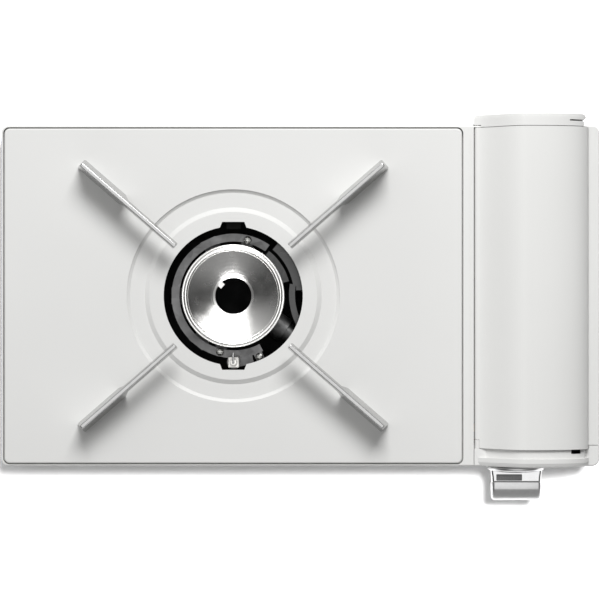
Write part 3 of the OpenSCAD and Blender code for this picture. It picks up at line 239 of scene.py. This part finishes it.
MATERIALS = {
    "white_steel": painted("m_white_steel", (0.76, 0.76, 0.745), 0.42),
    "white_plate": painted("m_white_plate", (0.745, 0.745, 0.732), 0.5),
    "white_resin": moulded("m_white_resin", (0.755, 0.755, 0.742), 0.46, 2600, 0.000012),
    "dark_steel": painted("m_dark_steel", (0.028, 0.028, 0.03), 0.5),
    "black_rubber": moulded("m_black_rubber", (0.022, 0.022, 0.022), 0.78, 1800, 0.00003),
    "grey_rubber": moulded("m_grey_rubber", (0.4, 0.4, 0.39), 0.7, 1800, 0.00003),
    "zinc_screw": plated("m_zinc_screw", (0.6, 0.6, 0.58), 0.32),
    "galvanised_steel": spangled(),
    "bright_steel": plated("m_bright_steel", (0.66, 0.66, 0.66), 0.22, 700, (1, 0.1, 1)),
    "black_enamel": black_enamel,
    "cast_alloy": cast,
    "stainless": plated("m_stainless", (0.62, 0.61, 0.59), 0.3, 800, (1, 1, 0.1)),
    "turned_stainless": turned("m_turned_stainless", (0.72, 0.715, 0.7), 0.24, burner_at),
    "brass": plated("m_brass", (0.68, 0.47, 0.2), 0.3, 600, (1, 0.2, 1), 0.08),
    "heat_strip": plated("m_heat_strip", (0.08, 0.08, 0.08), 0.3, 700, (0.1, 1, 1)),
    "ceramic": ceramic,
    "lead_sleeve": moulded("m_lead_sleeve", (0.2, 0.02, 0.016), 0.5, 1500, 0.00001),
    "black_resin": moulded("m_black_resin", (0.02, 0.02, 0.021), 0.5),
    "cam_resin": moulded("m_cam_resin", (0.66, 0.64, 0.58), 0.4),
    "satin_silver": plated("m_satin_silver", (0.62, 0.62, 0.62), 0.34, 1600, (1, 1, 1), 0.03),
    "zinc_casting": plated("m_zinc_casting", (0.42, 0.42, 0.43), 0.48, 400, (1, 1, 1), 0.14),
    "magnet": magnet,
    "cast_arm": arm_metal,
}

slot_of = {s["node"]: s["material_slot"] for s in frame["record"]["subparts"]}
for name, obj in nodes.items():
    obj.data.materials.clear()
    obj.data.materials.append(MATERIALS[slot_of[name]].mat)

# ---------- detailed pieces ----------

MM = 0.001
HEAD_MARGIN = 1.15   # a head is at least this much wider than its shank
FEW = 1e-5           # corners nearer than this to an end belong to it


def link_piece(name, bm, body, slot, smooth_deg=35, mats=None):
    """Turns a bmesh into a piece that rides on a body and takes the material of a record slot."""
    bmesh.ops.recalc_face_normals(bm, faces=bm.faces)
    mesh = bpy.data.meshes.new(name)
    bm.to_mesh(mesh)
    bm.free()
    for poly in mesh.polygons:
        poly.use_smooth = True
    mesh.set_sharp_from_angle(angle=math.radians(smooth_deg))
    for mat in mats or [MATERIALS[slot].mat]:
        mesh.materials.append(mat)
    obj = bpy.data.objects.new(name, mesh)
    scene.collection.objects.link(obj)
    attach(obj, body)
    return obj


def rings_to_faces(bm, rings, close_start=True, close_end=True):
    """Joins rings of the same count into a skin, and closes its ends."""
    n = len(rings[0])
    for a, b in zip(rings, rings[1:]):
        for k in range(n):
            m = (k + 1) % n
            bm.faces.new((a[k], a[m], b[m], b[k]))
    if close_start:
        bm.faces.new(list(reversed(rings[0])))
    if close_end:
        bm.faces.new(rings[-1])


def circles(bm, profile, place, steps):
    """One ring of corners about the local Z axis of place for each (radius, height)."""
    turns = [2 * math.pi * k / steps for k in range(steps)]
    return [[bm.verts.new(place @ Vector((radius * math.cos(a), radius * math.sin(a), height)))
             for a in turns] for radius, height in profile]


def close_round(bm, rings):
    """Skin over rings that run around a bore and back to the first."""
    rings_to_faces(bm, rings + [rings[0]], close_start=False, close_end=False)


def box_of(pts):
    return (Vector([min(p[i] for p in pts) for i in range(3)]),
            Vector([max(p[i] for p in pts) for i in range(3)]))


def islands(node):
    """Separate solids of a CAD node, each as a list of corner points at rest."""
    mesh = nodes[node].data
    parent = list(range(len(mesh.vertices)))
    seen = {}
    for v in mesh.vertices:
        key = tuple(round(c * 1e6) for c in v.co)
        parent[v.index] = seen.setdefault(key, v.index)

    def root(a):
        while parent[a] != a:
            parent[a] = parent[parent[a]]
            a = parent[a]
        return a

    for e in mesh.edges:
        a, b = root(e.vertices[0]), root(e.vertices[1])
        if a != b:
            parent[a] = b
    groups = {}
    for v in mesh.vertices:
        groups.setdefault(root(v.index), []).append(v.co.copy())
    return list(groups.values())


HEAD_STEPS, HEAD_ROWS = 32, 9
CROWN = 0.42                           # drop of the domed head at its rim, in head heights
CROSS_WIDTH, CROSS_REACH = 0.17, 0.6   # half width and half length of the cross, in head radii
CROSS_DEPTH, CROSS_FLOOR = 0.5, 0.55   # depth of its arms and of its middle, in head heights
THREAD_CORE, THREAD_PITCH = 0.82, 0.42   # in shank radii


def screw_mesh(bm, pts, axis):
    """Pan-head screw with a cross recess and a thread, in the room of one CAD screw."""
    lo, hi = box_of(pts)
    mid = (lo + hi) / 2
    across = [i for i in range(3) if i != axis]

    def reach(p):
        return math.dist([p[i] for i in across], [mid[i] for i in across])

    low_r = max(reach(p) for p in pts if p[axis] < lo[axis] + FEW)
    high_r = max(reach(p) for p in pts if p[axis] > hi[axis] - FEW)
    head_r, shank_r = max(low_r, high_r), min(low_r, high_r)
    levels = sorted({round(p[axis], 6) for p in pts if reach(p) > shank_r * HEAD_MARGIN})
    head_h = levels[-1] - levels[0]
    length = hi[axis] - lo[axis]
    base = mid.copy()
    direction = Vector((0, 0, 0))
    if high_r > low_r:
        base[axis] = hi[axis]
        direction[axis] = 1
    else:
        base[axis] = lo[axis]
        direction[axis] = -1
    place = Matrix.Translation(base) @ direction.to_track_quat("Z", "Y").to_matrix().to_4x4()
    # head: a polar grid, domed, with the cross pressed in
    rings = []
    for row in range(1, HEAD_ROWS + 1):
        r = head_r * math.sin(row / HEAD_ROWS * math.pi / 2) ** 0.9
        ring = []
        for k in range(HEAD_STEPS):
            a = 2 * math.pi * k / HEAD_STEPS
            x, y = r * math.cos(a), r * math.sin(a)
            z = -head_h * CROWN * (r / head_r) ** 3.2
            near, far = sorted((abs(x), abs(y)))
            if near < head_r * CROSS_WIDTH and far < head_r * CROSS_REACH:
                z -= head_h * CROSS_DEPTH
            ring.append(bm.verts.new(place @ Vector((x, y, z))))
        rings.append(ring)
    top = bm.verts.new(place @ Vector((0, 0, -head_h * CROSS_FLOOR)))
    for k in range(HEAD_STEPS):
        bm.faces.new((top, rings[0][k], rings[0][(k + 1) % HEAD_STEPS]))
    rings += circles(bm, [(head_r, -head_h * 0.9), (head_r * 0.96, -head_h)], place, HEAD_STEPS)
    # shank with a thread of shallow grooves and a short point
    core = shank_r * THREAD_CORE
    pitch = shank_r * THREAD_PITCH
    turns = max(3, int((length - head_h) / pitch) - 1)
    profile = [(core, -head_h)]
    for t in range(turns):
        z = -head_h - pitch * (t + 0.5)
        profile += [(core, z), (shank_r, z - pitch * 0.4)]
    profile += [(shank_r * 0.8, -length + shank_r * 0.3), (shank_r * 0.45, -length)]
    rings += circles(bm, [p for p in profile if p[1] >= -length], place, HEAD_STEPS)
    rings_to_faces(bm, rings, close_start=False)


def screws(node, body, axis=2):
    bm = bmesh.new()
    for pts in islands(node):
        screw_mesh(bm, pts, axis)
    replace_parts(link_piece(node + "_detail", bm, body, "zinc_screw", 30), node)


for node, axis in (("foot_screws", 2), ("base_screws", 2), ("rear_cap_screws", 1), ("burner_screws", 2),
                   ("regulator_screws", 2)):
    screws(node, "stove", axis)
screws("arm_screws", "plate")

# rubber feet: rounded, with a ribbed sole and a deep seat for the screw
SEAT_R, FOOT_HOLE_R, SEAT_FLOOR = 0.0029, 0.0016, 0.0013
RIBS, RIB_PITCH, RIB_EDGE = 3, 0.0013, 0.0012
bm = bmesh.new()
for pts in islands("rubber_feet"):
    lo, hi = box_of(pts)
    outer_r, height = (hi.x - lo.x) / 2, hi.z
    sole = []
    for rib in range(RIBS):
        r0 = outer_r - RIB_EDGE - rib * RIB_PITCH
        sole += [(r0, 0.0), (r0 - 0.00045, 0.0), (r0 - 0.0006, 0.0005), (r0 - 0.00115, 0.0005)]
    profile = [(FOOT_HOLE_R, height - SEAT_FLOOR), (SEAT_R, height - SEAT_FLOOR),
               (SEAT_R, 0.0003), (SEAT_R + 0.0003, 0.0)]
    profile += list(reversed(sole))
    profile += [(outer_r - 0.0007, 0.0), (outer_r - 0.00025, 0.0002), (outer_r, 0.0008),
                (outer_r - 0.0003, height - 0.0006), (outer_r - 0.0005, height - 0.0002),
                (outer_r - 0.0009, height), (FOOT_HOLE_R, height)]
    place = Matrix.Translation(((lo.x + hi.x) / 2, (lo.y + hi.y) / 2, 0))
    close_round(bm, circles(bm, profile, place, 48))
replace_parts(link_piece("rubber_feet_detail", bm, "stove", "black_rubber", 40), "rubber_feet")

# knob: domed flange, polished neck and a handle that is flat on top and rounded in front
polished = plated("m_polished_neck", (0.66, 0.66, 0.66), 0.12, 1600, (1, 1, 1), 0.02)
# dark metal for a painted reflection on the polished neck, not a part of the knob
painted_neck_reflection = plated("m_painted_neck_reflection", (0.12, 0.12, 0.12), 0.3, 1600, (1, 1, 1), 0.05)
knob_lo, knob_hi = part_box("knob")
knob_at = (knob_lo + knob_hi) / 2


def front(x, depth, z):
    """Place on the knob: x and z from its axis, depth from its back face towards the user, in millimetres."""
    return Vector((knob_at.x + x * MM, knob_hi.y - depth * MM, knob_at.z + z * MM))


def rounded_box_ring(half_w, half_h, radius, depth, per_corner=8):
    """Corners (x, depth, z) around a rectangle with rounded corners."""
    ring = []
    for corner, (sx, sz) in enumerate(((1, 1), (-1, 1), (-1, -1), (1, -1))):
        for k in range(per_corner + 1):
            a = math.pi / 2 * (corner + k / per_corner)
            ring.append((sx * (half_w - radius) + radius * math.cos(a), depth,
                         sz * (half_h - radius) + radius * math.sin(a)))
    return ring


HANDLE_LEN, HANDLE_H, HANDLE_W = 14.0, 13.0, 35.0
HANDLE_END_R, HANDLE_EDGE_R = 2.4, 1.3
HANDLE_KINK = 5.6      # where the flat top of the handle turns into its rounded front
HANDLE_DROP = 0.12     # small step at that place
FLANGE_STEPS, BORE_R = 96, 4.1
FLANGE = [(19.2, 0), (19.75, 0.25), (20, 0.8), (20, 1.7), (19.8, 2.25), (19.3, 2.7), (18.4, 3.0), (16, 3.5),
          (13, 4.0), (10, 4.35), (7, 4.6), (4.5, 4.75)]
handle_back = (knob_hi.y - knob_lo.y) / MM - HANDLE_LEN
NECK = [(18.3, 2.6), (18.1, 4.5), (17.6, 7.5), (17.3, handle_back + 2)]   # half width, depth
NECK_HALF_H, NECK_R = 5.5, 2.2

bm = bmesh.new()
turns = [2 * math.pi * k / FLANGE_STEPS for k in range(FLANGE_STEPS)]
close_round(bm, [[bm.verts.new(front(r * math.cos(a), h, r * math.sin(a))) for a in turns]
                 for r, h in [(BORE_R, 0)] + FLANGE + [(BORE_R, 4.77)]])
flange_faces = len(bm.faces)
rings_to_faces(bm, [[bm.verts.new(front(*p)) for p in rounded_box_ring(half_w, NECK_HALF_H, NECK_R, depth)]
                    for half_w, depth in NECK])
neck_faces = len(bm.faces)


def handle_section(inset):
    """Upper half outline of the handle from back to front, (depth, z), pulled in by inset."""
    h = HANDLE_H / 2 - inset
    back, tip = inset, HANDLE_LEN - inset
    pts = [(back, 0.0), (back, h - HANDLE_EDGE_R)]
    for a in (0.4, 0.8, 1.2, math.pi / 2):
        pts.append((back + HANDLE_EDGE_R * (1 - math.cos(a)), h - HANDLE_EDGE_R * (1 - math.sin(a))))
    start = HANDLE_KINK + 0.4
    pts += [(HANDLE_KINK, h), (start, h - HANDLE_DROP)]
    steps = 15
    for step in range(1, steps):
        t = step / steps
        pts.append((start + (tip - start) * t, (h - HANDLE_DROP) * (1 - t ** 1.15) ** 0.56))
    pts.append((tip, 0.0))
    return pts


END_STEPS = 6
end = []
for step in range(END_STEPS + 1):
    a = math.pi / 2 * step / END_STEPS
    end.append((HANDLE_W / 2 - HANDLE_END_R + HANDLE_END_R * math.sin(a), HANDLE_END_R * (1 - math.cos(a))))
rings = []
for x, inset in [(-x, inset) for x, inset in reversed(end)] + end:
    upper = handle_section(inset)
    ring = [bm.verts.new(front(x, handle_back + d, z)) for d, z in upper]
    ring += [bm.verts.new(front(x, handle_back + d, -z)) for d, z in reversed(upper[1:-1])]
    rings.append(ring)
rings_to_faces(bm, rings)
knob_piece = link_piece("knob_detail", bm, "knob", "satin_silver", 30,
                        [MATERIALS["satin_silver"].mat, polished.mat])
for poly in knob_piece.data.polygons:
    if flange_faces <= poly.index < neck_faces:
        poly.material_index = 1
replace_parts(knob_piece, "knob")

# painted reflection on the neck: a thin dark sheet standing in for a dark reflection in the polished metal,
# from near its left end to past its middle
REFLECTION_X0, REFLECTION_X1, REFLECTION_Y0, REFLECTION_R = -14.3, 3.9, 5.6, 0.5
reflection_y1 = handle_back - 0.2
reflection_x, reflection_y = (REFLECTION_X0 + REFLECTION_X1) / 2, (REFLECTION_Y0 + reflection_y1) / 2
outline = rounded_box_ring((REFLECTION_X1 - REFLECTION_X0) / 2, reflection_y1 - reflection_y, REFLECTION_R, 0, 4)
bm = bmesh.new()
rings_to_faces(bm, [[bm.verts.new(front(reflection_x + x * scale, reflection_y + y * scale, z)) for x, _, y in outline]
                    for scale, z in ((0.96, 5.3), (1, 5.4), (1, 5.55), (0.98, 5.6))])
link_piece("knob_painted_reflection", bm, "knob", "satin_silver", 30, [painted_neck_reflection.mat])

# pan supports: drafted bars with rounded edges and a rounded outer end, thinner inwards of the leg
ARM_ANGLES = {"arm_front_left": -139, "arm_front_right": -41, "arm_rear_left": 139, "arm_rear_right": 41}
ARM_BAR_H, ARM_LEG_LEN, ARM_HAUNCH = 8.0, 38.0, 5.0
ARM_TOP_HALF, ARM_EDGE_R, ARM_END_R = 1.55, 0.75, 1.3
ARM_END_DRAFT = 2.4     # the outer end leans in by this much up to ARM_END_TOP below the top
ARM_END_TOP = 1.0
ARM_NOSE_STEPS, ARM_END_STEPS = 4, 6


def arm_section(half_top, half_low, low, top):
    """Half outline of a support across its length, (half width, z), with a rounded upper edge."""
    rise = top - ARM_EDGE_R - low
    pts = [(half_low + (half_top - half_low) * k / 4, low + rise * k / 4) for k in range(5)]
    for k in range(1, 6):
        a = math.pi / 2 * k / 5
        pts.append((half_top - ARM_EDGE_R + ARM_EDGE_R * math.cos(a),
                    top - ARM_EDGE_R + ARM_EDGE_R * math.sin(a)))
    return pts


def arm_piece(node, angle):
    """Lofts a support outwards along its own angle, in the room of its CAD solid."""
    pts = islands(node)[0]
    spin = Matrix.Rotation(-math.radians(angle), 2)
    flat = [spin @ Vector((p.x - burner_at[0], p.y - burner_at[1])) for p in pts]
    r_in, r_out = min(p.x for p in flat) / MM, max(p.x for p in flat) / MM
    low, top = min(p.z for p in pts) / MM, max(p.z for p in pts) / MM
    wide = max(abs(p.y) for p in flat) / MM
    leg = r_out - ARM_LEG_LEN

    def half_at(z):
        return ARM_TOP_HALF + (wide - ARM_TOP_HALF) * (top - z) / (top - low)

    def end_at(z):
        return r_out - ARM_END_DRAFT * (z - low) / (top - ARM_END_TOP - low)

    def floor_at(r):
        bar = top - ARM_BAR_H
        return low if r >= leg else min(bar, low + (bar - low) * (leg - r) / ARM_HAUNCH)

    rings = []   # each a list of (r, half width, z) from the bottom to the top
    for k in range(ARM_NOSE_STEPS + 1):
        a = math.pi / 2 * k / ARM_NOSE_STEPS
        r, share = r_in + 1 - math.cos(a), 1 - 0.35 * (1 - math.sin(a))
        z0 = floor_at(r)
        rings.append([(r, half * share, z) for half, z in arm_section(half_at(top), half_at(z0), z0, top)])
    for r in (r_in + 12, r_in + 26, leg - 6.5, leg - ARM_HAUNCH, leg - 3.4, leg - 1.7, leg,
              leg + 1.5, leg + 14, r_out - 7):
        z0 = floor_at(r)
        rings.append([(r, half, z) for half, z in arm_section(half_at(top), half_at(z0), z0, top)])
    for k in range(ARM_END_STEPS + 1):
        a = math.pi / 2 * k / ARM_END_STEPS
        ring = []
        for half, z in arm_section(half_at(top), half_at(low), low, top):
            r = end_at(z) - ARM_END_R * (1 - math.sin(a))
            thin = max(half - ARM_END_R + ARM_END_R * math.cos(a), 0.25 * half)
            dip = 0.5 * (1 - math.cos(a)) if z > top - ARM_END_TOP else 0
            ring.append((r, thin, z - dip))
        rings.append(ring)

    back = Matrix.Rotation(math.radians(angle), 3, "Z")
    centre = Vector((*burner_at, 0))
    bm = bmesh.new()
    skin = []
    for ring in rings:
        around = ring + [(r, -half, z) for r, half, z in reversed(ring)]
        skin.append([bm.verts.new(back @ Vector(p) * MM + centre) for p in around])
    rings_to_faces(bm, skin)
    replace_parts(link_piece(node + "_detail", bm, "plate", "cast_arm", 40), node)


for node, angle in ARM_ANGLES.items():
    arm_piece(node, angle)

# ceramic of the electrode: ribbed body with a square collar and the bore of the needle
NEEDLE_BORE_R = 0.9
lo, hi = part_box("electrode_insulator")
tall = (hi.z - lo.z) / MM
profile = [(NEEDLE_BORE_R, 0.0), (2.6, 0.0), (3.0, 0.4)]
for rib in range(5):
    z = 1.2 + rib * 1.9
    profile += [(3.0, z), (2.7, z + 0.3), (2.7, z + 0.7), (3.0, z + 1.0)]
profile += [(3.0, tall - 9.6), (2.9, tall - 5.2), (2.3, tall - 4.6), (2.3, tall - 1.0), (2.1, tall - 0.3),
            (1.7, tall), (NEEDLE_BORE_R, tall)]
place = Matrix.Translation(((lo.x + hi.x) / 2, (lo.y + hi.y) / 2, lo.z)) @ Matrix.Scale(MM, 4)
bm = bmesh.new()
close_round(bm, circles(bm, profile, place, 40))
collar_half = (hi.x - lo.x) / 2 / MM
collar_z = tall - 9.3
rings_to_faces(bm, [[bm.verts.new(place @ Vector((x, y, collar_z + rise)))
                     for x, _, y in rounded_box_ring(collar_half - inset, collar_half - inset, r, 0, 3)]
                    for inset, rise, r in ((0.5, 0.0, 0.7), (0, 0.5, 1.0), (0, 3.2, 1.0), (0.5, 3.8, 0.8))])
electrode = link_piece("electrode_insulator_detail", bm, "stove", "ceramic", 40)
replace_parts(electrode, "electrode_insulator")

# painted shade deep in the slot of the rear cap: a thin dark strip standing in for the shade inside the slot
SLOT_SHADE_X0, SLOT_SHADE_X1, SLOT_SHADE_HALF_T, SLOT_SHADE_R = 187.3, 197.0, 0.42, 0.3
SLOT_SHADE_FROM_BACK = 4.7
slot_shade_at = Vector(((SLOT_SHADE_X0 + SLOT_SHADE_X1) / 2 * MM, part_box("rear_cap")[1].y - SLOT_SHADE_FROM_BACK * MM, 0))
outline = rounded_box_ring((SLOT_SHADE_X1 - SLOT_SHADE_X0) / 2, SLOT_SHADE_HALF_T, SLOT_SHADE_R, 0, 4)
bm = bmesh.new()
rings_to_faces(bm, [[bm.verts.new(slot_shade_at + Vector((x * scale, y * scale, z)) * MM) for x, _, y in outline]
                    for scale, z in ((0.97, 30.0), (1, 30.3), (1, 51.5), (0.97, 52.0))])
# the black rubber colour here is painted shade, not a rubber part
link_piece("rear_slot_painted_shade", bm, "stove", "black_rubber")

# ---------- floor and light ----------

FLOOR_HALF = 1.7   # lit white out to here; beyond it the room is white
floor_mesh = bpy.data.meshes.new("floor")
corners = [(x * FLOOR_HALF, y * FLOOR_HALF, 0) for x, y in ((-1, -1), (1, -1), (1, 1), (-1, 1))]
floor_mesh.from_pydata(corners, [], [(0, 1, 2, 3)])
floor = bpy.data.objects.new("floor", floor_mesh)
scene.collection.objects.link(floor)
paper = Shader("m_floor", (0.97, 0.97, 0.97), 0.9)
paper.vary(paper.noise(3, 2), 0.004)
floor_mesh.materials.append(paper.mat)


def lit_group(name, *objs):
    """Objects that a lamp lights alone."""
    group = bpy.data.collections.new(name)
    for obj in objs:
        group.objects.link(obj)
    return group


def area(name, at, target, size, power, lights):
    data = bpy.data.lights.new(name, "AREA")
    data.shape = "RECTANGLE"
    data.size, data.size_y = size
    data.energy = power
    obj = bpy.data.objects.new(name, data)
    scene.collection.objects.link(obj)
    obj.location = at
    obj.rotation_euler = (Vector(target) - Vector(at)).to_track_quat("-Z", "Y").to_euler()
    obj.light_linking.receiver_collection = lights
    return obj


only_floor = lit_group("only_floor", floor)
not_floor = lit_group("not_floor", floor)
not_floor.collection_objects[0].light_linking.link_state = "EXCLUDE"

POWER = {"key": 55, "floor": 120, "floor_fill": 9, "card": 8, "electrode": 9}
area("key_rear", (0.25, 1.6, 1.7), (0, 0, 0.05), (1.3, 0.9), POWER["key"], not_floor)
# the floor's own lamps keep it white around the object
area("floor_lamp", (0.35, 0.42, 2.6), (0, 0, 0), (0.42, 0.42), POWER["floor"], only_floor)
fill = area("floor_fill", (0, 0, 3), (0, 0, 0), (1.5, 1.5), POWER["floor_fill"], only_floor)
fill.data.use_shadow = False
# a bright card in front shows only in the turned burner cap
turned_parts = lit_group("turned_parts", nodes["burner_cap"])
card = area("south_card", (-0.05, -0.75, 1.25), (-0.047, 0.009, 0.06), (0.5, 0.3), POWER["card"],
            turned_parts)
card.visible_diffuse = False
electrode_only = lit_group("electrode_only", electrode)
spot = area("electrode_light", (-0.047, -0.5, 1.4), (-0.047, -0.04, 0.05), (0.3, 0.3), POWER["electrode"],
            electrode_only)
spot.data.use_shadow = False
# the floor throws no light back on the object's sides
floor.visible_diffuse = False

world = bpy.data.worlds.new("studio")
scene.world = world
world.use_nodes = True
sky = world.node_tree.nodes["Background"]
sky.inputs["Color"].default_value = (1, 1, 1, 1)


def sky_node(kind, **props):
    n = world.node_tree.nodes.new(kind)
    for key, value in props.items():
        setattr(n, key, value)
    return n


def sky_link(a, b):
    world.node_tree.links.new(a, b)


def sky_band(value, lo_in, hi_in, lo, hi):
    """A soft step in brightness along one direction of the room."""
    n = sky_node("ShaderNodeMapRange", interpolation_type="SMOOTHSTEP")
    for socket, number in (("From Min", lo_in), ("From Max", hi_in), ("To Min", lo), ("To Max", hi)):
        n.inputs[socket].default_value = number
    sky_link(value, n.inputs["Value"])
    return n.outputs["Result"]


def sky_sum(*values):
    total = values[0]
    for value in values[1:]:
        n = sky_node("ShaderNodeMath", operation="ADD")
        sky_link(total, n.inputs[0])
        sky_link(value, n.inputs[1])
        total = n.outputs[0]
    return total


ROOM_TURN = math.radians(-15)
room = sky_node("ShaderNodeTexCoord")
plain = sky_node("ShaderNodeSeparateXYZ")
sky_link(room.outputs["Generated"], plain.inputs[0])
turn = sky_node("ShaderNodeVectorRotate", rotation_type="Z_AXIS")
turn.inputs["Angle"].default_value = ROOM_TURN
sky_link(room.outputs["Generated"], turn.inputs["Vector"])
turned_room = sky_node("ShaderNodeSeparateXYZ")
sky_link(turn.outputs["Vector"], turned_room.inputs[0])
# what the metals mirror: a bright ceiling, a light rear wall, dark walls left and right
mirrored = sky_sum(sky_band(turned_room.outputs["Y"], 0.15, 0.75, 0.05, 0.5),
                   sky_band(turned_room.outputs["Y"], -0.8, -0.2, 0.28, 0.0),
                   sky_band(plain.outputs["Z"], 0.78, 0.97, 0.0, 1.3))
# what lights the matt parts: soft light from everywhere, less from the right and from below
soft = sky_sum(sky_band(plain.outputs["X"], -0.9, 0.9, 0.55, 0.0),
               sky_band(plain.outputs["Z"], -0.2, 0.3, -0.08, 0.02),
               sky_band(plain.outputs["Y"], -0.95, -0.6, 0.4, 0.0))
path = sky_node("ShaderNodeLightPath")
pick = sky_node("ShaderNodeMix", data_type="FLOAT")
sky_link(path.outputs["Is Glossy Ray"], pick.inputs["Factor"])
sky_link(soft, pick.inputs["A"])
sky_link(mirrored, pick.inputs["B"])
backdrop = sky_node("ShaderNodeMix", data_type="FLOAT")
backdrop.inputs["B"].default_value = 1.0
sky_link(path.outputs["Is Camera Ray"], backdrop.inputs["Factor"])
sky_link(pick.outputs["Result"], backdrop.inputs["A"])
sky_link(backdrop.outputs["Result"], sky.inputs["Strength"])
scene.view_settings.view_transform = "Standard"
